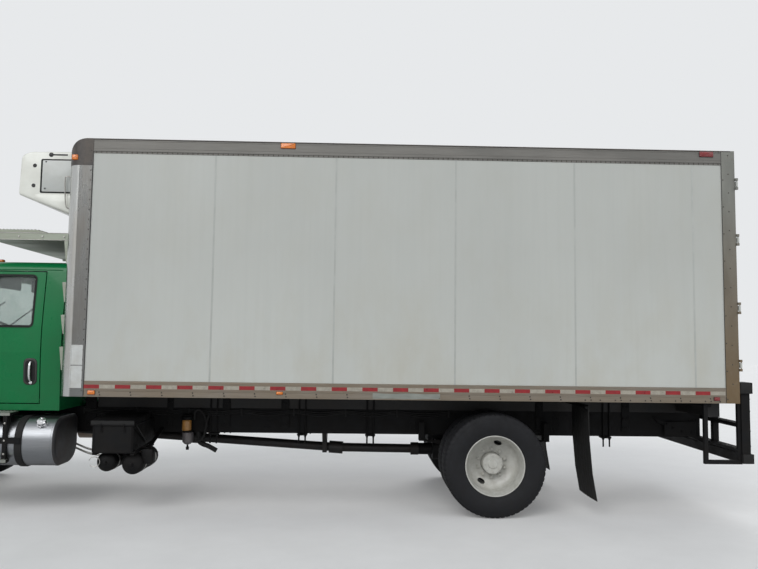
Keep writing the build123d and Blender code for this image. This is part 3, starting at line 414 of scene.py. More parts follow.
def cut_from(target, shapes):
    """Takes the shapes out of a piece with an exact Boolean, and keeps the result as its mesh."""
    cutter = place("cutter", mesh_of("cutter", shapes))
    modifier = target.modifiers.new("cut", "BOOLEAN")
    modifier.operation = "DIFFERENCE"
    modifier.solver = "EXACT"
    modifier.object = cutter
    bpy.context.view_layer.update()
    result = bpy.data.meshes.new_from_object(target.evaluated_get(bpy.context.evaluated_depsgraph_get()))
    target.modifiers.remove(modifier)
    target.data = result
    bpy.data.objects.remove(cutter)
    result.set_sharp_from_angle(angle=radians(SMOOTH_UNDER))


# Finishes
class Finish:
    """A material whose node tree is built a node at a time, all in Object coordinates."""

    def __init__(self, name):
        self.material = bpy.data.materials.new(name)
        self.material.use_nodes = True
        self.tree = self.material.node_tree
        self.shader = self.tree.nodes["Principled BSDF"]
        self.place = self.node("ShaderNodeTexCoord").outputs["Object"]

    def node(self, kind, **settings):
        """A new node with its settings made."""
        made = self.tree.nodes.new(kind)
        for key, value in settings.items():
            setattr(made, key, value)
        return made

    def set(self, **values):
        """Values on the shader's own sockets, by names with spaces written as underlines."""
        for key, value in values.items():
            self.shader.inputs[key.replace("_", " ")].default_value = value

    def link(self, output, target):
        """Joins one socket to another."""
        self.tree.links.new(output, target)

    def noise(self, size, stretch=(1, 1, 1), detail=5.0):
        """Cloudy noise whose patches are about size metres across, longer where stretch is under 1."""
        mapping = self.node("ShaderNodeMapping")
        mapping.inputs["Scale"].default_value = stretch
        self.link(self.place, mapping.inputs["Vector"])
        made = self.node("ShaderNodeTexNoise")
        made.inputs["Scale"].default_value = 1 / size
        made.inputs["Detail"].default_value = detail
        made.inputs["Roughness"].default_value = 0.6
        self.link(mapping.outputs[0], made.inputs["Vector"])
        return made.outputs["Fac"]

    def range(self, value, low, high, start=0.3, stop=0.7):
        """The value spread from start..stop to low..high, and held there."""
        made = self.node("ShaderNodeMapRange")
        for key, number in (("From Min", start), ("From Max", stop), ("To Min", low), ("To Max", high)):
            made.inputs[key].default_value = number
        self.link(value, made.inputs["Value"])
        return made.outputs[0]

    def times(self, first, second, operation="MULTIPLY"):
        """The product of two values, or another sum of them."""
        made = self.node("ShaderNodeMath", operation=operation, use_clamp=True)
        self.link(first, made.inputs[0])
        if isinstance(second, (int, float)):
            made.inputs[1].default_value = second
        else:
            self.link(second, made.inputs[1])
        return made.outputs[0]

    def blend(self, share, first, second):
        """Colour first going over to second as share goes from 0 to 1; each is a colour or a socket."""
        made = self.node("ShaderNodeMix", data_type="RGBA")
        self.link(share, made.inputs["Factor"])
        for key, colour in ((6, first), (7, second)):
            if isinstance(colour, (tuple, list)):
                made.inputs[key].default_value = (*colour[:3], 1)
            else:
                self.link(colour, made.inputs[key])
        return made.outputs[2]

    def height(self, axis="Z"):
        """The height over the ground, or the place along another axis."""
        made = self.node("ShaderNodeSeparateXYZ")
        self.link(self.place, made.inputs[0])
        return made.outputs[axis]

    def shade(self, share, first, second):
        """Painted shade: the base colour multiplied by a grey that goes from first to second with share."""
        made = self.node("ShaderNodeMix", data_type="RGBA", blend_type="MULTIPLY")
        made.inputs["Factor"].default_value = 1
        self.link(self.shader.inputs["Base Color"].links[0].from_socket, made.inputs[6])
        self.link(self.blend(share, (first,) * 3, (second,) * 3), made.inputs[7])
        self.colour(made.outputs[2])

    def colour(self, socket):
        """The shader's base colour from a socket."""
        self.link(socket, self.shader.inputs["Base Color"])

    def rough(self, value, low, high):
        """The shader's roughness, from low to high with the value."""
        self.link(self.range(value, low, high), self.shader.inputs["Roughness"])

    def metal(self, socket):
        """The shader's metallic share from a socket."""
        self.link(socket, self.shader.inputs["Metallic"])

    def bump(self, value, depth, strength=1.0):
        """A height in metres that tilts the light on the surface."""
        made = self.node("ShaderNodeBump")
        made.inputs["Strength"].default_value = strength
        made.inputs["Distance"].default_value = depth
        self.link(value, made.inputs["Height"])
        if self.shader.inputs["Normal"].is_linked:
            self.link(self.shader.inputs["Normal"].links[0].from_socket, made.inputs["Normal"])
        self.link(made.outputs[0], self.shader.inputs["Normal"])


def tone(colour, factor):
    """A colour made lighter or darker."""
    return tuple(min(1.0, channel * factor) for channel in colour)


def coating(name, colour, spread=0.08, patch=0.5, stretch=(1, 1, 1), rough=(0.4, 0.55), metallic=0.0, coat=0.0,
            soil=None, soil_share=0.5, soil_top=1.0, soil_patch=0.12, grain=None, grain_depth=0.0003, **sockets):
    """One colour in lighter and darker patches, with dirt that thins out with height, and a fine grain."""
    made = Finish(name)
    cloud = made.noise(patch, stretch)
    base = made.blend(made.range(cloud, 0, 1), tone(colour, 1 - spread), tone(colour, 1 + spread))
    rough_from = cloud
    if soil:
        patches = made.noise(soil_patch, detail=8.0)
        low_down = made.range(made.height(), 1.0, 0.25, 0.0, soil_top)
        share = made.times(made.range(patches, 0, soil_share, 0.38, 0.72), low_down)
        base = made.blend(share, base, soil)
        rough_from = patches
    made.colour(base)
    made.rough(rough_from, *rough)
    if grain:
        made.bump(made.noise(grain, detail=3.0), grain_depth)
    made.set(**{"Metallic": metallic, "Coat_Weight": coat, "Coat_Roughness": 0.06, **sockets})
    return made


DUST = (0.20, 0.15, 0.10)
FINISHES = {}


def finish(key):
    """The material of that name, made by its recipe the first time it is asked for."""
    if key not in FINISHES:
        FINISHES[key] = RECIPES[key]().material
    return FINISHES[key]


def cab_green():
    """Glossy green with road film towards its foot."""
    return coating("cab green paint", bpy.context.scene.truck_paint.cab, 0.06, 0.9, rough=(0.24, 0.36), coat=0.14,
                   soil=(0.05, 0.06, 0.04), soil_share=0.25, soil_top=2.6, soil_patch=0.4, grain=0.012,
                   grain_depth=0.00004, Specular_IOR_Level=0.2)


def box_white():
    """Off-white sheet with faint upright streaks, road film towards its foot, and painted shade that darkens it towards
    the top.
    """
    made = Finish("box white panel")
    cloud = made.noise(1.1, (1, 1, 0.45))
    streak = made.noise(0.045, (1, 1, 0.03), detail=3.0)
    white = bpy.context.scene.truck_paint.box
    base = made.blend(made.range(cloud, 0, 1), tone(white, 0.96), tone(white, 1.04))
    base = made.blend(made.range(streak, 0, 0.2, 0.45, 0.75), base, tone(white, 0.90))
    film = made.times(made.range(made.noise(0.35, (1, 1, 0.5), detail=7.0), 0, 0.55, 0.45, 0.8),
                      made.range(made.height(), 1.0, 0.3, 1.3, 2.4))
    made.colour(made.blend(film, base, (0.42, 0.39, 0.30)))
    # Painted shade: the panel is darkened smoothly to nine tenths from 1.3 m up to 2.7 m.
    made.shade(made.range(made.height(), 0, 1, 1.3, 2.7), 1.0, 0.9)
    made.rough(streak, 0.38, 0.52)
    made.bump(made.noise(0.5, (1, 1, 0.6), detail=2.0), 0.004, 0.35)
    made.set(Coat_Weight=0.15, Coat_Roughness=0.2)
    return made


def brushed(name, colour, along, rough=(0.25, 0.5), metallic=1.0, stain=(0.2, 0.15, 0.1), stain_share=0.5,
            wave=0.0006):
    """Metal with fine lines along one axis, stains in patches and a slight waviness that bends its reflections."""
    made = Finish(name)
    lines = made.noise(0.004, tuple(0.02 if axis == along else 1 for axis in range(3)), detail=3.0)
    patches = made.noise(0.3, tuple(0.3 if axis == along else 1 for axis in range(3)), detail=8.0)
    base = made.blend(made.range(lines, 0, 1), tone(colour, 0.86), tone(colour, 1.08))
    made.colour(made.blend(made.range(patches, 0, stain_share, 0.48, 0.78), base, stain))
    made.rough(patches, *rough)
    made.bump(made.noise(0.16, detail=2.0), wave, 0.6)
    made.bump(lines, 0.0001, 0.5)
    made.set(Metallic=metallic)
    return made


def rail_aluminium():
    """Weathered aluminium, grey on the top rail and browner on the bottom one, with fine lines along it."""
    made = Finish("weathered aluminium rail")
    lines = made.noise(0.004, (0.02, 1, 1), detail=3.0)
    patches = made.noise(0.25, (0.3, 1, 1), detail=8.0)
    base = made.blend(made.range(made.height(), 0, 1, 1.4, 2.4), (0.225, 0.185, 0.138), (0.155, 0.153, 0.142))
    base = made.blend(made.range(patches, 0, 0.5, 0.45, 0.75), base, (0.29, 0.28, 0.26))
    made.colour(made.blend(made.range(lines, 0, 0.35), base, (0.10, 0.085, 0.07)))
    made.rough(patches, 0.42, 0.62)
    made.bump(lines, 0.0001, 0.5)
    made.set(Metallic=0.6)
    return made


def load_floor():
    """Ribbed aluminium on top of the load floor, and dark painted steel for its edge and sills."""
    made = Finish("load floor")
    lines = made.noise(0.004, (0.02, 1, 1), detail=3.0)
    patches = made.noise(0.25, detail=8.0)
    top = made.range(made.height(), 0, 1, 1.34, 1.37)
    bright = made.blend(made.range(patches, 0, 0.5), (0.45, 0.45, 0.44), (0.2, 0.16, 0.12))
    dark = made.blend(made.range(patches, 0, 0.6), (0.008, 0.008, 0.009), (0.04, 0.035, 0.03))
    made.colour(made.blend(top, dark, bright))
    made.metal(made.times(top, 0.85))
    made.rough(patches, 0.38, 0.62)
    made.bump(lines, 0.0002, 0.5)
    made.set(Specular_IOR_Level=0.3)
    return made


def rear_steel():
    """Bright rolled steel with a painted reflection of the ground's brown towards its foot, and dents and rust at the
    rivets.
    """
    made = Finish("rear frame steel")
    lines = made.noise(0.003, (1, 1, 0.02), detail=3.0)
    waves = made.noise(0.35, (1, 1, 0.35), detail=4.0)
    stains = made.noise(0.05, detail=9.0)
    # Painted reflection: the ground's brown low down goes over to grey steel between 1.3 m and 3.3 m.
    low = made.blend(made.range(waves, 0, 1), (0.130, 0.088, 0.048), (0.185, 0.135, 0.08))
    high = made.blend(made.range(waves, 0, 1), (0.15, 0.152, 0.138), (0.225, 0.228, 0.205))
    base = made.blend(made.range(made.height(), 0, 1, 1.3, 3.3), low, high)
    made.colour(made.blend(made.range(stains, 0, 0.75, 0.62, 0.74), base, (0.11, 0.06, 0.03)))
    made.metal(made.range(stains, 0.75, 0.2, 0.5, 0.72))
    made.rough(stains, 0.34, 0.6)
    made.bump(waves, 0.003, 0.5)
    made.bump(lines, 0.0001, 0.5)
    return made


def polished_post():
    """Bright sheet whose dents bend the reflections into upright streaks, with a painted reflection that darkens it
    rearward of the corner's bend.
    """
    made = brushed("polished stainless post", (0.50, 0.505, 0.49), 2, (0.14, 0.36), stain=(0.22, 0.16, 0.10),
                   stain_share=0.55, wave=0.0)
    # Painted reflection: the post is darkened to 0.42 rearward of x 1.938, and kept bright from x 1.956 forward.
    made.shade(made.range(made.height("X"), 0, 1, 1.938, 1.956), 0.42, 1.0)
    made.bump(made.noise(0.05, (1, 1, 0.12), detail=3.0), 0.004, 0.7)
    return made


def rubber(name, colour, dusty):
    """Dull rubber, dusty low down, with a coarse grain."""
    return coating(name, colour, 0.12, 0.2, rough=(0.62, 0.82), soil=(0.05, 0.043, 0.034), soil_share=dusty,
                   soil_top=1.2, soil_patch=0.06, grain=0.006, grain_depth=0.0004, Specular_IOR_Level=0.3)


def clear_glass():
    """Thin tinted glass with dust that stops some of the light."""
    made = Finish("window glass")
    dust = made.noise(0.35, detail=8.0)
    made.colour(made.blend(made.range(dust, 0, 1), (0.62, 0.70, 0.67), (0.75, 0.80, 0.77)))
    made.rough(dust, 0.02, 0.08)
    made.set(Transmission_Weight=0.92, IOR=1.12, Coat_Weight=0.6, Coat_Roughness=0.02, Specular_IOR_Level=0.8)
    return made


def lens(name, colour, glow=0.0):
    """A ribbed moulded lens."""
    made = Finish(name)
    rings = made.node("ShaderNodeTexWave", wave_type="BANDS", bands_direction="Z")
    rings.inputs["Scale"].default_value = 60
    rings.inputs["Distortion"].default_value = 1.5
    made.link(made.place, rings.inputs["Vector"])
    cloud = made.noise(0.03)
    made.colour(made.blend(made.range(cloud, 0, 1), tone(colour, 0.8), tone(colour, 1.15)))
    made.rough(cloud, 0.12, 0.25)
    made.bump(rings.outputs["Fac"], 0.0006, 0.8)
    made.set(Transmission_Weight=glow, Coat_Weight=0.7, Coat_Roughness=0.05)
    return made


def tape_finish(name, colour):
    """Retroreflective tape with its lattice of small cells."""
    made = Finish(name)
    cells = made.node("ShaderNodeTexVoronoi", feature="DISTANCE_TO_EDGE")
    cells.inputs["Scale"].default_value = 260
    made.link(made.place, cells.inputs["Vector"])
    cloud = made.noise(0.05, detail=6.0)
    base = made.blend(made.range(cloud, 0, 1), tone(colour, 0.75), tone(colour, 1.2))
    lines = made.range(cells.outputs["Distance"], 0.5, 0, 0.0, 0.12)
    made.colour(made.blend(lines, base, tone(colour, 0.55)))
    made.rough(cloud, 0.25, 0.45)
    made.set(Coat_Weight=0.12, Coat_Roughness=0.2)
    return made


def cloth():
    """Woven seat cloth: two crossed rows of threads over a soft mottle."""
    made = Finish("seat cloth")
    rows = []
    for direction in ("X", "Y"):
        wave = made.node("ShaderNodeTexWave", wave_type="BANDS", bands_direction=direction)
        wave.inputs["Scale"].default_value = 150
        wave.inputs["Distortion"].default_value = 0.6
        made.link(made.place, wave.inputs["Vector"])
        rows.append(wave.outputs["Fac"])
    weave = made.times(rows[0], rows[1], "ADD")
    cloud = made.noise(0.12, detail=6.0)
    base = made.blend(made.range(cloud, 0, 1), (0.045, 0.048, 0.055), (0.085, 0.09, 0.1))
    made.colour(made.blend(made.range(weave, 0, 0.5, 0.2, 1.0), base, (0.14, 0.145, 0.155)))
    made.rough(cloud, 0.8, 0.95)
    made.bump(weave, 0.0008, 0.8)
    made.set(Sheen_Weight=0.4)
    return made


RECIPES = {
    "cab green": cab_green,
    "box white": box_white,
    "rail": rail_aluminium,
    "seam": lambda: coating("panel seam", (0.415, 0.427, 0.40), 0.08, 0.2, rough=(0.4, 0.55), soil=DUST, soil_share=0.2,
                            soil_top=3.0, grain=0.01, grain_depth=0.00005),
    "post": polished_post,
    "cap": lambda: coating("corner cap paint", (0.045, 0.038, 0.034), 0.25, 0.06, rough=(0.35, 0.6),
                           soil=(0.16, 0.13, 0.1), soil_share=0.6, soil_top=9.0, grain=0.004),
    "frame": rear_steel,
    "chassis": lambda: coating("chassis black", (0.0045, 0.0045, 0.005), 0.3, 0.15, rough=(0.5, 0.72),
                               soil=(0.026, 0.021, 0.016), soil_share=0.35, soil_top=1.4, grain=0.003,
                               grain_depth=0.0003, Specular_IOR_Level=0.16),
    "iron": lambda: coating("engine iron", (0.10, 0.11, 0.115), 0.2, 0.08, rough=(0.45, 0.7), metallic=0.3,
                            soil=(0.06, 0.045, 0.03), soil_share=0.7, soil_top=3.0, grain=0.003),
    "shaft": lambda: coating("shaft steel", (0.012, 0.0115, 0.012), 0.35, 0.07, rough=(0.4, 0.7), metallic=0.3,
                             soil=(0.045, 0.03, 0.02), soil_share=0.4, soil_top=2.0, grain=0.003),
    "tank": lambda: brushed("tank aluminium", (0.27, 0.28, 0.295), 0, (0.3, 0.46), stain=(0.20, 0.19, 0.18),
                            stain_share=0.45, wave=0.0008),
    "bright": lambda: brushed("bright plating", (0.78, 0.78, 0.79), 1, (0.05, 0.16), stain=(0.4, 0.37, 0.33),
                              stain_share=0.25, wave=0.0002),
    "zinc": lambda: brushed("zinc plated fasteners", (0.42, 0.41, 0.39), 2, (0.3, 0.5), stain_share=0.6),
    "muffler": lambda: brushed("heat stained steel", (0.30, 0.25, 0.21), 0, (0.35, 0.6), stain=(0.12, 0.06, 0.03),
                               stain_share=0.8),
    "plate": lambda: brushed("perforated step plate", (0.27, 0.285, 0.26), 0, (0.34, 0.55), stain_share=0.35),
    "flap": lambda: rubber("ribbed flap rubber", (0.012, 0.012, 0.012), 0.35),
    "tyre": lambda: rubber("tyre rubber", (0.006, 0.0063, 0.008), 0.12),
    "seal": lambda: rubber("black seal rubber", (0.010, 0.010, 0.010), 0.2),
    "rim": lambda: coating("rim white paint", (0.50, 0.495, 0.455), 0.06, 0.12, rough=(0.35, 0.55), coat=0.2,
                           soil=(0.20, 0.17, 0.12), soil_share=0.4, soil_top=1.6, soil_patch=0.05, grain=0.006),
    "glass": clear_glass,
    "black plastic": lambda: coating("black moulded plastic", (0.014, 0.014, 0.015), 0.15, 0.2, rough=(0.4, 0.6),
                                     soil=DUST, soil_share=0.2, soil_top=3.0, grain=0.0015, grain_depth=0.0003),
    "dash plastic": lambda: coating("dash plastic", (0.035, 0.036, 0.04), 0.12, 0.25, rough=(0.5, 0.68),
                                    grain=0.0012, grain_depth=0.0004),
    "cover": lambda: coating("cream moulded cover", (0.78, 0.785, 0.715), 0.05, 0.4, rough=(0.28, 0.42), coat=0.3,
                             soil=(0.3, 0.27, 0.2), soil_share=0.3, soil_top=9.0, soil_patch=0.3, grain=0.01,
                             grain_depth=0.00005),
    "cover panel": lambda: coating("grey moulded panel", (0.50, 0.515, 0.49), 0.05, 0.3, rough=(0.35, 0.5), coat=0.2,
                                   soil=(0.3, 0.27, 0.2), soil_share=0.25, soil_top=9.0, grain=0.004),
    "load floor": load_floor,
    "amber bowl": lambda: coating("amber air filter", (0.42, 0.20, 0.05), 0.25, 0.04, rough=(0.3, 0.5), coat=0.3,
                                  soil=DUST, soil_share=0.4, soil_top=2.0, grain=0.004),
    "grey bowl": lambda: coating("grey filter bowl", (0.12, 0.11, 0.115), 0.2, 0.04, rough=(0.35, 0.55),
                                 soil=DUST, soil_share=0.3, soil_top=2.0, grain=0.004),
    "lining": lambda: coating("grey cab lining", (0.16, 0.16, 0.165), 0.1, 0.2, rough=(0.7, 0.85), grain=0.0015,
                              grain_depth=0.0004),
    "amber": lambda: lens("amber lens", (0.75, 0.19, 0.01)),
    "red lens": lambda: lens("red lens", (0.20, 0.004, 0.006)),
    "clear lens": lambda: lens("clear lens", (0.75, 0.78, 0.8), 0.5),
    "red tape": lambda: tape_finish("red tape", (0.27, 0.006, 0.010)),
    "silver tape": lambda: tape_finish("silver tape", (0.36, 0.33, 0.27)),
    "cloth": cloth,
    "catwalk": lambda: brushed("catwalk aluminium", (0.30, 0.325, 0.27), 0, (0.4, 0.6), 0.6, stain_share=0.3),
    # Painted shade: near black on the tank's ends stands for the shade on them.
    "tank end": lambda: coating("painted shade on the ends of the tank", (0.045, 0.045, 0.048), 0.2, 0.2, rough=(0.4, 0.6), metallic=0.4,
                                soil=DUST, soil_share=0.25, soil_top=1.4, grain=0.004),
    "dark rivet": lambda: coating("dark rivets", (0.055, 0.048, 0.04), 0.3, 0.05, rough=(0.4, 0.6), metallic=0.5),
    "paper": lambda: coating("blank plate", (0.55, 0.56, 0.54), 0.06, 0.05, rough=(0.5, 0.7), soil=(0.3, 0.27, 0.2),
                             soil_share=0.4, soil_top=9.0, grain=0.003),
}

NODE_FINISHES = {
    "cab green": ("cab_shell", "cab_door_left", "cab_door_right", "hood"),
    "box white": ("box_wall_left", "box_wall_right", "box_wall_front", "box_roof", "rear_door_left", "rear_door_right"),
    "rail": ("box_rails",),
    "catwalk": ("catwalk",),
    "post": ("box_front_posts",),
    "frame": ("box_rear_frame", "lock_rods_left", "lock_rods_right"),
    "chassis": ("chassis_frame", "front_axle", "rear_axle", "leaf_springs", "knuckle_left", "knuckle_right", "tie_rod",
                "tank_steps", "battery_box", "rear_step"),
    "iron": ("engine",),
    "shaft": ("drive_shaft",),
    "tank": ("fuel_tank",),
    "bright": ("front_bumper", "grille"),
    "muffler": ("muffler",),
    "flap": ("mud_flaps",),
    "tyre": ("front_tyre_left", "front_tyre_right", "rear_tyres_left", "rear_tyres_right"),
    "rim": ("front_rim_left", "front_rim_right", "rear_rims_left", "rear_rims_right"),
    "glass": ("cab_glass", "door_glass_left", "door_glass_right", "headlamps"),
    "black plastic": ("mirror_left", "mirror_right"),
    "dash plastic": ("dashboard", "steering_wheel"),
    "cloth": ("seats",),
    "cover": ("reefer_unit",),
    "load floor": ("box_floor",),
    "amber": ("marker_lamps",),
}


class TruckPaint(bpy.types.PropertyGroup):
    """The colours of the main finishes."""
    cab: FloatVectorProperty(name="Cab", description="Colour of the cab and hood", default=(0.002, 0.158, 0.046),
                             size=3, min=0, max=1, subtype="COLOR")
    box: FloatVectorProperty(name="Box", description="Colour of the box body's panels", default=(0.505, 0.516, 0.480),
                             size=3, min=0, max=1, subtype="COLOR")


class TruckSizes(bpy.types.PropertyGroup):
    """Sizes of details that a user may change."""
    tape_block: FloatProperty(name="Tape block", description="Length of one red or silver block", default=0.1524,
                              min=0.05, unit="LENGTH")
    tape_height: FloatProperty(name="Tape height", description="Height of the reflective tape", default=0.037,
                               min=0.01, unit="LENGTH")
    seam_pitch: FloatProperty(name="Seam pitch", description="Distance between the side panels' seams",
                              default=1.2192, min=0.3, unit="LENGTH")
    rivet_pitch: FloatProperty(name="Rivet pitch", description="Distance between rivets", default=0.0508, min=0.02,
                               unit="LENGTH")
    tread_blocks: IntProperty(name="Tread blocks", description="Blocks round a tyre's shoulder", default=60, min=20)


class TRUCK_OT_finishes(bpy.types.Operator):
    """Give every node of the frame its finish"""
    bl_idname = "truck.finishes"
    bl_label = "Finishes on the frame's nodes"

    def execute(self, context):
        for key, names in NODE_FINISHES.items():
            for name in names:
                node = frame["nodes"][name]
                node.data.materials.clear()
                node.data.materials.append(finish(key))
        return {"FINISHED"}


# Wheels
TYRE_HALF = 0.138  # half a tyre's width
BLOCK_SIDES = 5  # points round the tyre for each block of its tread
GROOVE_DEEP = 0.007
HAND_HOLE = (0.043, 0.025, 0.214)  # half its length, half its width, its circle's radius
HAND_HOLE_ANGLES = (108, 300)
NUT_CIRCLE = 0.1429
# columns: across from the tyre's middle, radius, share of the block pattern
TREAD = [
    (-0.104, 0.288, 0), (-0.113, 0.300, 0), (-0.119, 0.312, 0), (-0.1225, 0.316, 0), (-0.1225, 0.322, 0),
    (-0.127, 0.332, 0), (-0.133, 0.356, 0), (-0.1365, 0.380, 0), (-0.138, 0.400, 0), (-0.1375, 0.425, 0),
    (-0.135, 0.448, 0), (-0.131, 0.466, 0), (-0.1305, 0.468, 0), (-0.1275, 0.470, 0), (-0.124, 0.486, 0.5),
    (-0.120, 0.498, 1), (-0.114, 0.508, 1), (-0.106, 0.515, 1), (-0.098, 0.518, 1), (-0.070, 0.519, 0.3),
    (-0.066, 0.519, 0), (-0.064, 0.505, 0), (-0.056, 0.505, 0), (-0.054, 0.5195, 0), (-0.030, 0.520, 0.3),
    (-0.025, 0.520, 0), (-0.023, 0.506, 0), (-0.015, 0.506, 0), (-0.013, 0.520, 0), (0.0, 0.520, 0.3),
]


def tyre_shape(centre, radius_node, blocks):
    """A tyre turned from its section, with the radius lowered between blocks where the pattern column says so."""
    half = np.array(TREAD)
    whole = np.concatenate([half, half[-2::-1] * (-1, 1, 1)])
    scale = radius_node / half[:, 1].max()
    sides = blocks * BLOCK_SIDES
    turn = np.linspace(0, 2 * pi, sides, endpoint=False)
    gap = np.clip((np.cos(turn * blocks) - 0.45) * 5, 0, 1)
    radius = whole[:, 1][:, None] * scale - GROOVE_DEEP * whole[:, 2][:, None] * gap[None]
    points = np.stack([
        centre[0] + radius * np.cos(turn)[None],
        centre[1] + np.broadcast_to(whole[:, 0][:, None], radius.shape),
        centre[2] + radius * np.sin(turn)[None],
    ], -1)
    return loft(points, looped=True)


def ring_of(centre, axis, radius, count, start=0.0):
    """Points evenly round a circle."""
    side, up = across(axis)
    turn = start + np.linspace(0, 2 * pi, count, endpoint=False)[:, None]
    return np.asarray(centre) + radius * (np.cos(turn) * side + np.sin(turn) * up)


# columns: outward from the wheel's middle plane, radius; the first face outwards, then the face inwards
REAR_DISC = [
    (0.116, 0.3035), (0.118, 0.300), (0.116, 0.293), (0.104, 0.288), (0.070, 0.281), (0.050, 0.272), (-0.010, 0.268),
    (-0.050, 0.266), (-0.072, 0.258), (-0.088, 0.243), (-0.100, 0.225), (-0.110, 0.200), (-0.118, 0.180),
    (-0.122, 0.168), (-0.122, 0.112), (-0.134, 0.112), (-0.134, 0.170), (-0.122, 0.200), (-0.108, 0.235),
    (-0.096, 0.254), (-0.085, 0.274), (-0.104, 0.288), (-0.112, 0.298), (-0.117, 0.303), (-0.112, 0.3035),
    (-0.100, 0.2875), (0.100, 0.2875), (0.112, 0.3035),
]
FRONT_DISC = [
    (0.116, 0.3035), (0.118, 0.300), (0.116, 0.293), (0.104, 0.286), (0.092, 0.272), (0.096, 0.262), (0.108, 0.245),
    (0.124, 0.212), (0.134, 0.182), (0.138, 0.168), (0.138, 0.112), (0.126, 0.112), (0.126, 0.170), (0.112, 0.205),
    (0.096, 0.236), (0.082, 0.262), (0.060, 0.270), (-0.050, 0.268), (-0.085, 0.276), (-0.104, 0.288), (-0.112, 0.298),
    (-0.117, 0.303), (-0.112, 0.3035), (-0.100, 0.2875), (0.100, 0.2875), (0.112, 0.3035),
]


def hand_hole(centre, side, angle, depth):
    """An oval block through the disc at an angle round the wheel, as seen from outside."""
    hole = circle(1, 24) * HAND_HOLE[:2]
    out, along = np.array((cos(angle), sin(angle))), np.array((-sin(angle), cos(angle)))
    outline = np.array((centre[0], centre[2])) + HAND_HOLE[2] * out + hole[:, :1] * along + hole[:, 1:] * out
    low, high = sorted((centre[1] + side * depth[0], centre[1] + side * depth[1]))
    return slab("xz", outline, low, high)


class TRUCK_OT_wheels(bpy.types.Operator):
    """Make the tyres with their tread, and the rims with hand holes, hubs and nuts"""
    bl_idname = "truck.wheels"
    bl_label = "Wheels"

    def execute(self, context):
        blocks = context.scene.truck_sizes.tread_blocks
        for side, name in SIDES:
            for end, discs in (("front", ((FRONT_DISC, 1),)), ("rear", ((REAR_DISC, 1), (REAR_DISC, -1)))):
                plural = "" if end == "front" else "s"
                node, rim, body = f"{end}_tyre{plural}_{name}", f"{end}_rim{plural}_{name}", f"{end}_wheel_{name}"
                low, high = reach(node)
                radius = (high[2] - low[2]) / 2
                x, z = (low[0] + high[0]) / 2, (low[2] + high[2]) / 2
                outer = max(abs(low[1]), abs(high[1])) - TYRE_HALF
                inner = min(abs(low[1]), abs(high[1])) + TYRE_HALF
                middles = [outer] if end == "front" else [outer, inner]
                piece(node + "_tread", [tyre_shape((x, side * y, z), radius, blocks) for y in middles],
                      "tyre_rubber", "tyre", 30, [node], body)
                shapes = []
                for (disc, way), y in zip(discs, middles):
                    profile = [(side * way * along, r) for along, r in disc]
                    shapes.append(lathe(profile, (x, side * y, z), LEFT, 96, looped=True))
                made = piece(rim + "_disc", shapes, "rim_white", "rim", 40, [rim], body)
                depth = (0.06, 0.16) if end == "front" else (-0.20, -0.06)
                cut_from(made, [hand_hole((x, side * outer, z), side, radians(angle), depth)
                                for angle in HAND_HOLE_ANGLES])
                self.hub(end, side, name, body, (x, side * outer, z))
        return {"FINISHED"}

    def hub(self, end, side, name, body, centre):
        """Drum, hub, cap or axle flange, ten nuts on their circle, and the valve."""
        x, y, z = centre
        face = TYRE_HALF if end == "front" else -0.122
        axis = (0, side, 0)
        seat = (x, y + side * face, z)
        nuts = ring_of(seat, axis, NUT_CIRCLE, 10, 0.3)
        nut = [(-0.001, 0.024), (0.004, 0.024), (0.005, 0.0195), (0.022, 0.0195), (0.025, 0.017)]
        stud = [(0.02, 0.0105), (0.036, 0.0105), (0.0375, 0.009)]
        painted = [studs(nuts, axis, nut), studs(nuts, axis, stud, 10)]
        if end == "front":
            hub = [(-0.10, 0.109), (0.012, 0.109), (0.016, 0.100), (0.020, 0.088), (0.034, 0.086), (0.040, 0.080),
                   (0.046, 0.060), (0.047, 0.0005)]
            bolts = ring_of((x, y + side * (face + 0.036), z), axis, 0.073, 6)
            drum = [(-0.30, 0.10), (-0.30, 0.200), (-0.285, 0.208), (-0.09, 0.208), (-0.085, 0.200), (-0.045, 0.196),
                    (-0.04, 0.10)]
        else:
            hub = [(-0.05, 0.109), (0.090, 0.105), (0.094, 0.104), (0.094, 0.101), (0.102, 0.101), (0.106, 0.097),
                   (0.106, 0.050), (0.112, 0.044), (0.113, 0.0005)]
            bolts = ring_of((x, y + side * (face + 0.106), z), axis, 0.080, 8)
            drum = [(-0.25, 0.10), (-0.25, 0.206), (-0.235, 0.213), (-0.05, 0.213), (-0.04, 0.205), (-0.02, 0.12),
                    (-0.02, 0.10)]
        painted += [lathe(hub, seat, axis, 48), studs(bolts, axis, scaled(BOLT, 0.8))]
        valve = [(x + 0.235, y + side * (face + 0.02), z), (x + 0.245, y + side * (face + 0.06), z),
                 (x + 0.252, y + side * (face + 0.085), z)]
        if end == "rear":
            painted.append(tube(valve, 0.004, 8, 3))
        piece(f"{end}_hub_{name}", painted, "rim_white", "rim", 36, body=body)
        piece(f"{end}_drum_{name}", [lathe(drum, seat, axis, 48)], "chassis_black", "shaft", 36, body=body)


# Box body
def rivet_rows(rows, axis, size=1.0):
    """Domed rivets at every point of the rows."""
    return studs(np.concatenate(rows), axis, scaled(RIVET, size), 7)


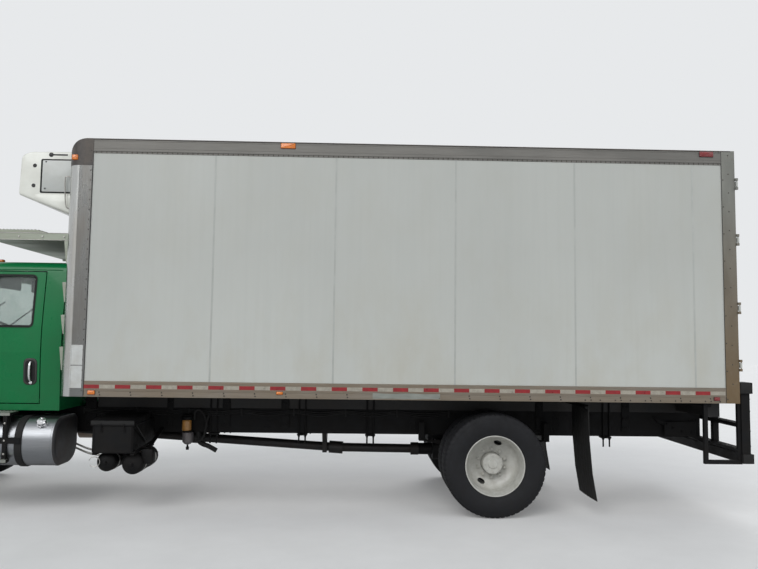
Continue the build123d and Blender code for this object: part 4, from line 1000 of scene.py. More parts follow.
class TRUCK_OT_box_sides(bpy.types.Operator):
    """Make the side panels' seams and rivets, the rails' ribs and rivets, and the reflective tape"""
    bl_idname = "truck.box_sides"
    bl_label = "Box sides"

    def execute(self, context):
        sizes = context.scene.truck_sizes
        pitch = sizes.rivet_pitch
        seams = PANEL_FRONT - sizes.seam_pitch * np.arange(1, 6)
        heights = np.arange(PANEL_LOW + 0.03, PANEL_HIGH - 0.02, pitch)
        runs = np.arange(PANEL_REAR + 0.03, PANEL_FRONT - 0.01, pitch)
        columns = [row(x, PANEL_Y, heights) for x in [*(seams - 0.012), PANEL_REAR + 0.015, PANEL_FRONT - 0.014]]
        heads = both(rivet_rows(columns, LEFT, 0.8))
        heads += both(*[block(x - 0.018, x, PANEL_Y - 0.001, PANEL_Y + 0.0012, PANEL_LOW, PANEL_HIGH, 0.0005)
                        for x in seams])
        piece("box_panel_seams", heads, "box_white", "seam")
        self.rails(sizes, runs)
        self.tape(sizes)
        self.lamps()
        return {"FINISHED"}

    def rails(self, sizes, runs):
        """Ribs along both rails, the rows of rivets, the roof's drip edge and the patch on the bottom rail."""
        ribs = []
        # columns: height of the rib's middle, its height, how far it stands out
        for z, tall, deep in ((BOX_LOW + 0.005, 0.010, 0.003), (1.2475, 0.006, 0.003), (1.3145, 0.005, 0.002),
                              (PANEL_LOW - 0.004, 0.008, 0.001), (PANEL_HIGH + 0.011, 0.004, 0.002),
                              (3.664, 0.004, 0.0025), (3.742, 0.008, 0.003)):
            ribs.append(block(PANEL_REAR, PANEL_FRONT, SIDE_Y - 0.004, SIDE_Y + deep - 0.001, z - tall / 2,
                              z + tall / 2, 0.001))
        ribs.append(block(PANEL_REAR, PANEL_FRONT, PANEL_Y - 0.002, PANEL_Y + 0.0035, FLANGE_LOW, PANEL_HIGH + 0.002,
                          0.001))
        piece("rail_ribs", both(*ribs), "rail_aluminium", "rail")
        top = row(runs, SIDE_Y - 0.0022, PANEL_HIGH + 0.004)
        edge_row = row(runs, PANEL_Y + 0.0035, (FLANGE_LOW + PANEL_HIGH) / 2)
        pair = 2 * sizes.tape_block
        pairs = PANEL_FRONT - pair * np.arange(0.5, 21)
        low = [row(pairs + dx, SIDE_Y - 0.002, 1.224 - dz) for dx, dz in ((0.0, 0.0), (-0.006, 0.026))]
        low.append(row(PANEL_REAR + pair * np.arange(0.2, 5, 0.5), SIDE_Y - 0.002, 1.198))
        heads = both(rivet_rows([top, edge_row], LEFT, 1.2), rivet_rows(low, LEFT, 1.8))
        piece("rail_rivets", heads, "rail_aluminium", "dark rivet")
        drip = both(block(PANEL_REAR - 0.1, BOX_FRONT - 0.2, SIDE_Y - 0.03, SIDE_Y + 0.002, BOX_HIGH - 0.011,
                          BOX_HIGH, 0.002))
        piece("drip_edge", drip, "rail_aluminium", "cap")
        x = np.linspace(-1.034, -1.706, 40)[:, None]
        z = np.linspace(1.188, 1.241, 5)[None]
        wave = 0.0016 * np.sin(x * 31) * np.cos(x * 13 + z * 40)
        edge = 0.003 * np.sin(x * 17) * (z - 1.2145) / 0.026
        grid = row(x, SIDE_Y + 0.002 + wave, z + edge)
        piece("rail_patch", [shell(grid, 0.0012)], "rail_aluminium", "plate")

    def tape(self, sizes):
        """Red and silver blocks in turn along both bottom rails."""
        count = int((PANEL_FRONT - PANEL_REAR) / sizes.tape_block)
        for first, key, name in ((0, "red tape", "tape_red"), (1, "silver tape", "tape_silver")):
            strips = []
            for number in range(first, count, 2):
                front = PANEL_FRONT - number * sizes.tape_block
                strips.append(block(front - sizes.tape_block, front, SIDE_Y - 0.001, SIDE_Y + 0.0006,
                                    TAPE_Z - sizes.tape_height / 2, TAPE_Z + sizes.tape_height / 2, 0.0003))
            piece(name, both(*strips), "lamp_lens", key)

    def lamps(self):
        """Domed lenses on bases: amber ahead, red at the rear, and red lamps across the rear frame."""
        lenses = {"amber": [], "red lens": []}
        bases = []
        # columns: place along, height, finish, length, height of the lamp
        for x, z, key, long, tall in ((1.735, 1.220, "amber", 0.078, 0.045), (-0.112, 1.233, "amber", 0.070, 0.034),
                                      (-4.500, 1.223, "red lens", 0.065, 0.040),
                                      (-0.142, 3.725, "amber", 0.155, 0.060),
                                      (-4.443, 3.725, "red lens", 0.150, 0.060)):
            outline = rounded(oblong(x - long / 2, x + long / 2, z - tall / 2, z + tall / 2), 0.008, 3)
            bases.append(slab("xz", outline, SIDE_Y - 0.004, SIDE_Y + 0.005, 0.002))
            lenses[key].append(slab("xz", inset(outline, 0.003), SIDE_Y, SIDE_Y + 0.013, 0.006, 3))
        lenses["amber"].append(pad("xz", 1.964, 2.026, 3.542, 3.594, 0.008, 3, 1.210, 1.305, 0.01, 3))
        for y, wide in ((1.200, 0.090), (0.300, 0.070)):
            lenses["red lens"].append(pad("yz", y - wide / 2, y + wide / 2, 3.682, 3.718, 0.008, 3, BOX_REAR - 0.014,
                                          BOX_REAR, 0.006, 3))
        lenses["red lens"].append(pad("yz", 0.0, 0.035, 3.682, 3.718, 0.004, 3, BOX_REAR - 0.014, BOX_REAR))
        for y in (0.880, 1.040):
            bases.append(lathe([(0, 0.055), (0.010, 0.054), (0.013, 0.048), (0.008, 0.047), (0.008, 0.001)],
                               (BOX_REAR, y, 1.240), BACK, 40))
            lenses["red lens"].append(lathe([(0.006, 0.047), (0.014, 0.045), (0.018, 0.03), (0.019, 0.001)],
                                            (BOX_REAR, y, 1.240), BACK, 40))
        piece("lamp_bases", both(*bases), "lamp_lens", "black plastic")
        for key, name in (("amber", "side_lamps_amber"), ("red lens", "side_lamps_red")):
            piece(name, both(*lenses[key]), "lamp_lens", key, replaces=["marker_lamps"])


class TRUCK_OT_box_front(bpy.types.Operator):
    """Make the front posts' beads and rivets, their dark caps, and the blank plate"""
    bl_idname = "truck.box_front"
    bl_label = "Box front"

    def execute(self, context):
        corner, crown = 0.127, 0.200
        turn = np.linspace(0, pi / 2, 10)
        straight = np.stack([np.linspace(PANEL_FRONT, BOX_FRONT - corner, 6), np.full(6, SIDE_Y)], 1)
        bend = np.stack([BOX_FRONT - corner + corner * np.sin(turn), SIDE_Y - corner + corner * np.cos(turn)], 1)
        plan = np.concatenate([straight, bend[1:]])
        rise = np.clip(plan[:, 0] - (BOX_FRONT - crown), 0, crown)
        top = BOX_HIGH - crown + np.sqrt(crown ** 2 - rise ** 2)
        share = np.linspace(0, 1, 12)[None]
        z = CAP_LOW + (top[:, None] - CAP_LOW) * share
        out = 0.0015
        normal = np.stack([np.clip((plan[:, 0] - BOX_FRONT + corner) / corner, 0, 1),
                           np.clip((plan[:, 1] - SIDE_Y + corner) / corner, 0, 1)], 1)
        normal /= np.linalg.norm(normal, axis=1)[:, None]
        skin = row(*(plan + out * normal).T[:, :, None], z)
        x, y = plan.T[:, :, None]
        lid = row(x, y + (SIDE_Y - corner - y) * np.linspace(0, 1, 5), top[:, None] - 0.0012)
        piece("corner_caps", both(shell(skin[:, ::-1], 0.0014), shell(lid, 0.0014)), "rail_aluminium", "cap", 50)
        beads = [tube([(PANEL_FRONT + 0.006, SIDE_Y + 0.001, BOX_LOW + 0.01),
                       (PANEL_FRONT + 0.006, SIDE_Y + 0.001, CAP_LOW)], 0.004, 8, 1),
                 tube([(1.943, SIDE_Y + 0.0005, BOX_LOW + 0.01), (1.943, SIDE_Y + 0.0005, CAP_LOW)], 0.002, 8, 1)]
        piece("post_beads", both(*beads), "post_steel", "post")
        heights = np.arange(BOX_LOW + 0.06, 3.7, 0.1)
        piece("post_rivets", both(rivet_rows([row(PANEL_FRONT + 0.02, SIDE_Y, heights)], LEFT, 1.5)), "post_steel",
              "dark rivet")
        plates = [block(1.834, 1.952, SIDE_Y + 0.0002, SIDE_Y + 0.002, z0, z1, 0.0006)
                  for z0, z1 in ((1.488, 1.684), (1.262, 1.480))]
        piece("post_plates", plates, "box_white", "paper")
        return {"FINISHED"}


# columns: y of the corner's centre, z of it, radius, first angle
TANK_CORNERS = (
    (0.967, 0.670, 0.215, -90), (0.957, 0.723, 0.225, 0), (0.615, 0.878, 0.070, 90), (0.745, 0.655, 0.200, 180),
)
TANK_REAR, TANK_FRONT = 2.140, 3.110


def tank_section(grow=0.0):
    """The tank's (y, z) outline: a quarter circle round each corner's centre, its radius grown by an amount."""
    arcs = []
    for y, z, radius, first in TANK_CORNERS:
        turn = np.radians(np.linspace(first, first + 90, 13))
        arcs.append(np.stack([y + (radius + grow) * np.cos(turn), z + (radius + grow) * np.sin(turn)], 1))
    return np.concatenate(arcs)


class TRUCK_OT_fuel_tank(bpy.types.Operator):
    """Make the fuel tank with rolled seams, cap and straps, and its perforated steps"""
    bl_idname = "truck.fuel_tank"
    bl_label = "Fuel tank"

    def execute(self, context):
        end = [(-0.024, 0.060), (-0.022, 0.040), (-0.016, 0.022), (-0.006, 0.010), (0.0, 0.004)]
        seam = [(0.004, 0.0), (0.016, 0.0), (0.020, 0.003), (0.06, 0.003)]
        rear = [(TANK_REAR + along, by) for along, by in end + seam]
        front = [(TANK_FRONT - along, by) for along, by in (end + seam)[::-1]]
        section = tank_section()
        piece("tank_drum", [stack("yz", section, rear[4:] + front[:-4])], "tank_aluminium", "tank", 30,
              ["fuel_tank"])
        # The ends are painted near black as shade.
        piece("tank_ends", [stack("yz", section, rear[:5]), stack("yz", section, front[-5:])], "tank_aluminium",
              "tank end", 30)
        way = np.array((0, 0.65, 0.76))
        neck = [(-0.02, 0.052), (0.010, 0.052), (0.012, 0.041), (0.020, 0.041), (0.020, 0.047), (0.044, 0.047),
                (0.050, 0.042), (0.052, 0.012), (0.058, 0.010), (0.059, 0.0005)]
        piece("tank_cap", [lathe(neck, (2.270, 1.110, 0.887), way, 40)], "tank_aluminium", "bright", 30)
        self.straps()
        self.steps()
        return {"FINISHED"}

    def straps(self):
        """A rubber-edged band round the drum at each strap, with its tension bolt."""
        bands = []
        for x in (2.475, 2.830):
            bands.append(stack("yz", tank_section(), [(x - 0.036, 0.001), (x - 0.036, -0.004), (x - 0.028, -0.009),
                                                      (x + 0.028, -0.009), (x + 0.036, -0.004), (x + 0.036, 0.001)]))
            bands.append(tube([(x, 0.470, 0.952), (x, 0.560, 0.965), (x, 0.640, 0.962)], 0.008, 8, 4))
        piece("tank_bands", bands, "chassis_black", "seal", 30)

    def steps(self):
        """Two step planks with raised, bored studs in rows, and bolts along their brackets."""
        for name, z0, y0, y1 in (("tank_step_top", 1.0045, 1.0, 1.204), ("tank_step_low", 0.5505, 1.184, 1.244)):
            xs = np.arange(2.590, 3.064, 0.036)
            ys = np.linspace(y0 + 0.02, y1 - 0.014, max(2, int((y1 - y0) / 0.036)))
            grid = row(*np.meshgrid(xs, ys), z0)
            shapes = [studs(grid, UP, [(-0.002, 0.012), (0.003, 0.009), (0.003, 0.006), (-0.002, 0.006)], 8),
                      block(2.556, 3.084, y0, y1, z0 - 0.005, z0), block(2.556, 3.084, y1 - 0.004, y1, z0 - 0.03, z0)]
            piece(name, shapes, "tank_aluminium", "plate", 30)
        bolts = [(x, 1.202, z) for x in (2.60, 3.06) for z in (0.60, 0.73, 0.90)]
        piece("tank_step_bolts", [studs(bolts, LEFT, scaled(BOLT, 0.8))], "tank_aluminium", "zinc", 30)


CAB_EDGE = ((1.010, 1.600, 1.870, 2.540), (0.985, 1.020, 1.015, 0.940))


def cab_half(z):
    """Half the cab's width at a height: straight lines between the four corners of its section."""
    return np.interp(z, *CAB_EDGE)


def on_cab(outline, out=0.0):
    """A side outline of (x, z) laid on the cab's left side, pushed out a little."""
    outline = np.asarray(outline, float)
    return np.stack([outline[:, 0], cab_half(outline[:, 1]) + out, outline[:, 1]], 1)


def raised(outline, low, high, edge=0.003, steps=2):
    """A plate in the shape of the outline on the cab's left side, its face rounded towards its rim."""
    turn = np.linspace(0, pi / 2, steps + 1)
    rings = [on_cab(outline, low)]
    for angle in turn:
        rings.append(on_cab(inset(outline, edge * (1 - cos(angle))), high - edge * (1 - sin(angle))))
    return loft(np.array(rings))


WINDOW = np.array([(2.462, 1.862), (2.462, 2.392), (2.868, 2.392), (3.120, 1.932), (3.120, 1.862)])


class TRUCK_OT_cab_doors(bpy.types.Operator):
    """Make the doors' window seals, handles, mouldings and mirrors"""
    bl_idname = "truck.cab_doors"
    bl_label = "Cab doors"

    def execute(self, context):
        opening = rounded(WINDOW, 0.045, 6)
        seal = carry([(-0.011, -0.003), (0.011, -0.003), (0.009, 0.004), (-0.009, 0.004)], on_cab(opening, 0.001),
                     looped=True)
        sweep = raised(rounded(oblong(2.50, 3.10, 1.862, 1.876), 0.004, 2), -0.004, 0.006)
        bezel = raised(rounded(oblong(2.392, 2.530, 1.268, 1.540), 0.058, 6), 0.0, 0.007, 0.006, 3)
        dish = raised(rounded(oblong(2.410, 2.512, 1.288, 1.520), 0.046, 6), 0.0075, 0.0085, 0.001, 1)
        pull = tube([(2.458, cab_half(1.50) + 0.006, 1.500), (2.460, cab_half(1.46) + 0.024, 1.470),
                     (2.461, cab_half(1.40) + 0.030, 1.400), (2.460, cab_half(1.34) + 0.026, 1.340),
                     (2.456, cab_half(1.30) + 0.006, 1.305)], 0.013, 12, 6)
        lock = lathe([(0, 0.016), (0.006, 0.016), (0.008, 0.012), (0.008, 0.001)],
                     (2.452, cab_half(1.292) + 0.007, 1.292), LEFT, 20)
        for side, name in SIDES:
            body = f"door_{name}"
            for label, shapes, slot, key in (("window_seal", [seal, sweep], "dash_plastic", "seal"),
                                             ("handle_bezel", [bezel], "mirror_black", "black plastic"),
                                             ("handle_dish", [dish], "mirror_black", "seal"),
                                             ("handle_pull", [pull, lock], "bumper_chrome", "bright"),):
                piece(f"{label}_{name}", sided(shapes, side), slot, key, 40, body=body)
            self.mirror(side, name, body)
        return {"FINISHED"}

    def mirror(self, side, name, body):
        """The mirror's shell swelling forward, its two glasses in their rims, and the joints of its arms."""
        x, y = 3.165, 1.228
        rows = []
        for along, grow in ((-0.042, 0.002), (-0.036, 0.012), (0.0, 0.016), (0.028, 0.006), (0.044, -0.018),
                            (0.052, -0.05)):
            ring = rounded(oblong(y - 0.09 - grow, y + 0.09 + grow, 1.565 - grow, 1.975 + grow), 0.05, 5)
            rows.append(row(x + along, *ring.T))
        shell_form = loft(np.array(rows))
        glasses = [pad("yz", y - 0.082, y + 0.082, z0, z1, 0.035, 5, x - 0.047, x - 0.041, 0.002, 2)
                   for z0, z1 in ((1.700, 1.968), (1.572, 1.686))]
        joints = [lathe([(-0.03, 0.018), (-0.026, 0.022), (0.026, 0.022), (0.03, 0.018)], (x, y - 0.10, z), UP, 16)
                  for z in (1.640, 1.900)]
        for label, shapes, slot, key in (("mirror_shell", [shell_form] + joints, "mirror_black", "black plastic"),
                                         ("mirror_glass", glasses, "window_glass", "bright")):
            piece(f"{label}_{name}", sided(shapes, side), slot, key, 40, body=body)


class TRUCK_OT_cab_body(bpy.types.Operator):
    """Make the cab's roof lamps, seals, wipers, drip rails and rear window trim"""
    bl_idname = "truck.cab_body"
    bl_label = "Cab body"

    def execute(self, context):
        lamps, bases = [], []
        for y in (-0.76, -0.3, 0, 0.3, 0.76):
            plan = rounded(oblong(2.890, 2.970, y - 0.032, y + 0.032), 0.025, 5)
            bases.append(slab("xy", plan, 2.538, 2.545, 0.002, 1))
            lamps.append(slab("xy", inset(plan, 0.004), 2.543, 2.575, 0.018, 4))
        piece("roof_lamp_bases", bases, "dash_plastic", "black plastic")
        piece("roof_lamps", lamps, "lamp_lens", "amber")
        foot, head = np.array((3.380, 1.800)), np.array((3.030, 2.465))
        way = (head - foot) / np.linalg.norm(head - foot)
        out = np.array((way[1], -way[0])) * 0.004
        corners = [(y, (foot + way * along + out)[1])
                   for along, y in ((0.055, -0.90), (0.055, 0.90), (0.70, 0.84), (0.70, -0.84))]
        ring = rounded(corners, 0.07, 6)
        x = foot[0] + out[0] + (ring[:, 1] - foot[1] - out[1]) * way[0] / way[1]
        gasket = carry([(-0.014, -0.003), (0.014, -0.003), (0.011, 0.005), (-0.011, 0.005)],
                       row(x, *ring.T), looped=True)
        rear_ring = row(2.158, *rounded(oblong(-0.55, 0.55, 1.90, 2.33), 0.06, 6).T)
        rear_gasket = carry([(-0.012, -0.004), (0.012, -0.004), (0.010, 0.004), (-0.010, 0.004)], rear_ring,
                            looped=True)
        piece("glass_seals", [gasket, rear_gasket], "dash_plastic", "seal")
        self.wipers(foot, way)
        drip = both(tube([(2.20, cab_half(2.45) + 0.001, 2.452), (2.6, cab_half(2.45) + 0.001, 2.455),
                          (2.93, cab_half(2.44) + 0.001, 2.450)], 0.005, 8, 6))
        piece("drip_rails", drip, "cab_green", "cab green", 40)
        return {"FINISHED"}

    def wipers(self, foot, way):
        """Two wipers lying on the windshield, each an arm that bends down to a blade with its rubber."""
        shapes = []
        for y, lean in ((0.50, -0.42), (-0.36, -0.42)):
            def on_glass(along, across_y, lift):
                """A point over the windshield, so far up its slope and so high off it."""
                x, z = foot + way * along + np.array((way[1], -way[0])) * lift
                return x, across_y, z
            arm = [on_glass(0.03, y, 0.02), on_glass(0.10, y - 0.08, 0.035), on_glass(0.24, y + lean * 0.55, 0.026)]
            blade = [on_glass(0.10, y - 0.02, 0.012), on_glass(0.40, y + lean, 0.012)]
            shapes += [tube(arm, 0.007, 8, 5), bar(blade[0], blade[1], 0.014, 0.014),
                       lathe([(0, 0.022), (0.03, 0.020), (0.036, 0.012)], on_glass(0.03, y, 0.0),
                             (way[1], 0, -way[0]), 16)]
        piece("wipers", shapes, "mirror_black", "black plastic", 40)


class TRUCK_OT_reefer(bpy.types.Operator):
    """Make the refrigeration unit's moulded cover, service panels, louvres, fan guards and guard loop"""
    bl_idname = "truck.reefer"
    bl_label = "Refrigeration unit"

    def execute(self, context):
        low, high = reach("reefer_unit")
        back, front, half, top = BOX_FRONT, high[0], high[1], high[2]
        corners = np.array([(back, 3.040), (back + 0.080, 3.040), (front + 0.026, 3.236), (front + 0.012, 3.652),
                            (front - 0.080, 3.694), (back, top)])

        def outline(by):
            """The cover's section drawn in all round but at the back, which stays on the wall."""
            ring = inset(corners, by)
            ring[[0, -1], 0] = back
            return rounded(ring, [0.001, 0.03, 0.025, 0.045, 0.05, 0.001], 5)

        cover = slab("xz", outline, -half, half, 0.026, 4)
        inner = slab("xz", oblong(low[0], low[0] + 0.272, 3.290, 3.560), -0.620, 0.620, 0.02, 3)
        piece("unit_cover", [cover], "reefer_white", "cover", 40, ["reefer_unit"])
        piece("evaporator_cover", [inner], "reefer_white", "cover panel", 40)
        gap = pad("xz", 2.085, 2.458, 3.252, 3.614, 0.02, 4, half - 0.004, half + 0.0006, 0.0005, 1)
        panel = pad("xz", 2.085, 2.440, 3.268, 3.600, 0.014, 4, half - 0.004, half + 0.003, 0.003, 2)
        skirt = slab("xz", rounded([(2.085, 3.06), (2.16, 3.06), (2.52, 3.205), (2.50, 3.238), (2.085, 3.238)], 0.012,
                                   3), half - 0.004, half + 0.0015, 0.002, 2)
        plugs = studs([(2.520, half, 3.542), (2.525, half, 3.331)], LEFT,
                      [(0, 0.020), (0.003, 0.020), (0.004, 0.014), (0.0015, 0.012), (0.0015, 0.001)], 18)
        screws = studs([(2.405, half + 0.002, 3.585), (2.405, half + 0.002, 3.300), (2.110, half + 0.002, 3.300)],
                       LEFT, [(0, 0.009), (0.002, 0.009), (0.003, 0.006), (0.001, 0.005), (0.001, 0.001)], 12)
        slot_bar = pad("xz", 2.185, 2.378, 3.651, 3.669, 0.007, 4, half - 0.012, half + 0.002, 0.003, 2)
        knob = lathe([(0, 0.024), (0.010, 0.023), (0.014, 0.018), (0.015, 0.001)],
                     (2.356, half - 0.006, 3.660), LEFT, 20)
        loop = tube([(2.075, half + 0.012, 3.420), (2.170, half + 0.034, 3.424), (2.188, half + 0.036, 3.400),
                     (2.182, half + 0.036, 3.250), (2.160, half + 0.034, 3.100), (2.075, half + 0.012, 3.090)], 0.006,
                    8, 6)
        piece("unit_gaps", both(gap), "mirror_black", "seal", 40)
        piece("unit_panels", both(panel), "reefer_white", "cover panel", 40)
        piece("unit_skirts", both(skirt), "reefer_white", "cover", 40)
        piece("unit_plugs", both(plugs, screws, slot_bar, knob), "mirror_black", "black plastic", 40)
        piece("unit_guard_loops", both(loop), "rail_aluminium", "zinc", 40)
        self.front(front, top)
        return {"FINISHED"}

    def front(self, front, top):
        """Louvres in two frames on the face, and two fan guards of rings and spokes on the top."""
        dark = pad("yz", -0.78, 0.78, 3.300, 3.600, 0.04, 4, front - 0.03, front - 0.006, 0.002, 1)
        slats = [slab("xz", [(front - 0.012, z), (front + 0.0, z + 0.010), (front + 0.0, z + 0.014),
                             (front - 0.012, z + 0.006)], -0.76, 0.76) for z in np.arange(3.312, 3.585, 0.026)]
        slats += [slab("xz", oblong(front - 0.012, front, 3.30, 3.60), y - 0.012, y + 0.012, 0.002, 1)
                  for y in (-0.39, 0.0, 0.39)]
        guards, wells = [], []
        for y in (-0.48, 0.48):
            centre = (2.330, y, top)
            wells.append(lathe([(-0.004, 0.215), (0.004, 0.215), (0.004, 0.170), (0.0015, 0.165), (0.0015, 0.001)],
                               centre, UP, 48))
            for radius in (0.06, 0.10, 0.14, 0.18):
                guards.append(lathe([(0.004 + 0.003 * sin(a), radius + 0.003 * cos(a))
                                     for a in np.linspace(0, 2 * pi, 6, False)], centre, UP, 40, looped=True))
            ends = ring_of((2.330, y, top + 0.004), UP, 0.19, 8)
            guards += [tube([(2.330, y, top + 0.005), tuple(end)], 0.003, 6, 1) for end in ends]
        piece("unit_dark_openings", [dark] + wells, "mirror_black", "black plastic", 40)
        piece("unit_louvres", slats + guards, "mirror_black", "black plastic", 40)


class TRUCK_OT_catwalk(bpy.types.Operator):
    """Make the catwalk's grating, bolts, raised tread, and the ladder steps' grips"""
    bl_idname = "truck.catwalk"
    bl_label = "Catwalk and ladder steps"

    def execute(self, context):
        high = reach("catwalk")[1]
        xs = np.arange(2.31, high[0] - 0.01, 0.036)
        tops = np.interp(xs, (2.29, 2.47), (2.815, 2.865))
        line = [(2.294, 2.816), (2.40, 2.8455), (2.47, 2.865), (high[0] - 0.004, 2.865)]
        bars = [block(x - 0.004, x + 0.004, -0.998, 0.998, top - 0.004, top + 0.006, 0.001)
                for x, top in zip(xs, tops)]
        bars += [carry(oblong(-0.003, 0.003, -0.004, 0.005), [(x, y, z) for x, z in line])
                 for y in np.arange(-0.96, 0.97, 0.08)]
        piece("catwalk_grating", bars, "rail_aluminium", "plate", 40)
        bolts = np.array([(x, 1.060, 2.786) for x in (2.16, 2.38, 2.62, 2.86)])
        flange = [block(BOX_FRONT, high[0], 1.018, 1.064, 2.822, 2.8275, 0.001),
                  block(BOX_FRONT, high[0], 1.056, 1.064, 2.75, 2.757, 0.001)]
        piece("catwalk_bolts", both(studs(bolts, LEFT, scaled(BOLT, 0.8)), *flange), "rail_aluminium", "zinc", 40)
        grips = []
        for z in (2.730, 2.310, 1.980, 1.660):
            grips.append(studs([(x, y, z) for x in (2.082, 2.097) for y in np.arange(1.075, 1.18, 0.0165)], UP,
                               [(-0.002, 0.006), (0.003, 0.004), (0.003, 0.001)], 6))
            grips.append(studs([(2.074, y, z - 0.06) for y in (1.080, 1.170)], AHEAD, scaled(BOLT, 0.5)))
        piece("ladder_grips", both(*grips), "rail_aluminium", "zinc", 40)
        return {"FINISHED"}


class TRUCK_OT_battery_box(bpy.types.Operator):
    """Make the battery box's lid, latches and braces, and the air tanks with domed ends and bands"""
    bl_idname = "truck.battery_box"
    bl_label = "Battery box and air tanks"

    def execute(self, context):
        rear, front, side, low, high = 1.342, 1.747, 1.190, 0.612, 0.896
        case = block(rear, front, 0.432, side, low, high, 0.012)
        ribs = [block(x - 0.006, x + 0.006, side - 0.002, side + 0.004, low + 0.02, high - 0.02, 0.002)
                for x in (rear + 0.02, front - 0.02)]
        lid_outline = [(0.620, high + 0.004), (side + 0.010, high + 0.004), (side + 0.010, high + 0.036),
                       (side - 0.05, high + 0.050), (0.70, 0.970), (0.620, 0.972)]
        lid = slab("yz", rounded(lid_outline, 0.012, 3), rear - 0.010, front + 0.010, 0.010, 3)
        lip = slab("yz", rounded(oblong(0.600, side + 0.014, high - 0.012, high + 0.006), 0.004, 1), rear - 0.014,
                   front + 0.014, 0.003, 1)
        piece("battery_case", [case, lid, lip] + ribs, "chassis_black", "chassis", 34, ["battery_box"])
        piece("battery_lid_skirt",
              [slab("xz", rounded(oblong(rear - 0.012, front + 0.012, high - 0.002, high + 0.040), 0.006, 2),
                    side + 0.008, side + 0.014, 0.002)],
              "chassis_black", "seal", 34)
        latches = []
        for x in (rear + 0.09, front - 0.09):
            latches += [block(x - 0.016, x + 0.016, side - 0.001, side + 0.010, high - 0.075, high - 0.02, 0.003),
                        tube([(x, side + 0.012, high - 0.060), (x, side + 0.022, high - 0.030),
                              (x, side + 0.016, high + 0.012)], 0.004, 8, 4)]
        braces = [bar((rear - 0.012, 1.180, 0.880), (rear - 0.020, 0.700, 0.650), 0.008, 0.030),
                  bar((rear - 0.012, 1.185, low + 0.01), (rear - 0.090, 0.560, low + 0.09), 0.026, 0.010),
                  bar((rear + 0.01, 0.440, low - 0.010), (rear + 0.01, side - 0.02, low - 0.010), 0.04, 0.018),
                  bar((front - 0.02, 0.440, low - 0.010), (front - 0.02, side - 0.02, low - 0.010), 0.04, 0.018)]
        piece("battery_fittings", latches + braces, "chassis_black", "chassis", 34)
        tanks, bands = [], []
        for x, z, radius in ((1.630, 0.514, 0.097), (1.370, 0.497, 0.108)):
            dome = [(0.0, 0.0005), (0.003, radius * 0.35), (0.012, radius * 0.66), (0.026, radius * 0.88),
                    (0.044, radius * 0.985), (0.060, radius)]
            body = [(0.470 + along, r) for along, r in dome] + [(1.120 - along, r) for along, r in dome[::-1]]
            tanks.append(lathe(body, (x, 0, z), LEFT, 48))
            tanks.append(lathe([(0, 0.016), (0.018, 0.016), (0.020, 0.012), (0.030, 0.011), (0.031, 0.001)],
                               (x, 1.118, z), LEFT, 12))
            for y in (0.62, 0.97):
                bands.append(lathe([(-0.016, radius + 0.0005), (-0.016, radius + 0.003), (0.016, radius + 0.003),
                                    (0.016, radius + 0.0005)], (x, y, z), LEFT, 48, looped=True))
                bands.append(bar((x, y, z + 0.07), (x, y, 0.616), 0.05, 0.03))
        piece("air_tanks", tanks, "chassis_black", "chassis", 34)
        piece("air_tank_bands", bands, "chassis_black", "zinc", 34)
        return {"FINISHED"}


class TRUCK_OT_mud_flaps(bpy.types.Operator):
    """Make the ribbed rubber flaps that hang in a curve from their hangers"""
    bl_idname = "truck.mud_flaps"
    bl_label = "Mud flaps"

    def execute(self, context):
        z = np.linspace(1.138, 0.180, 60)[:, None]
        y = np.linspace(0.622, 1.198, 25)[None]
        hang = np.interp(z, (0.178, 0.450, 0.800, 1.140), (-3.299, -3.254, -3.227, -3.2235))
        x = hang + 0.0016 * np.cos(y * 180) * (z < 1.05) + 0.004 * np.sin(y * 9) * (1.14 - z)
        piece("flap_sheets", both(shell(row(x, y, z), 0.007)), "flap_rubber", "flap", 60, ["mud_flaps"])
        hangers = [bar((-3.205, 0.436, 1.116), (-3.205, 1.205, 1.116), 0.026, 0.026),
                   bar((-3.214, 0.622, 1.112), (-3.214, 1.198, 1.112), 0.036, 0.008)]
        bolts = studs([(-3.232, y, 1.112) for y in np.linspace(0.66, 1.16, 5)], BACK, scaled(BOLT, 0.7))
        piece("flap_hangers", both(*hangers, bolts), "chassis_black", "chassis", 34)
        return {"FINISHED"}


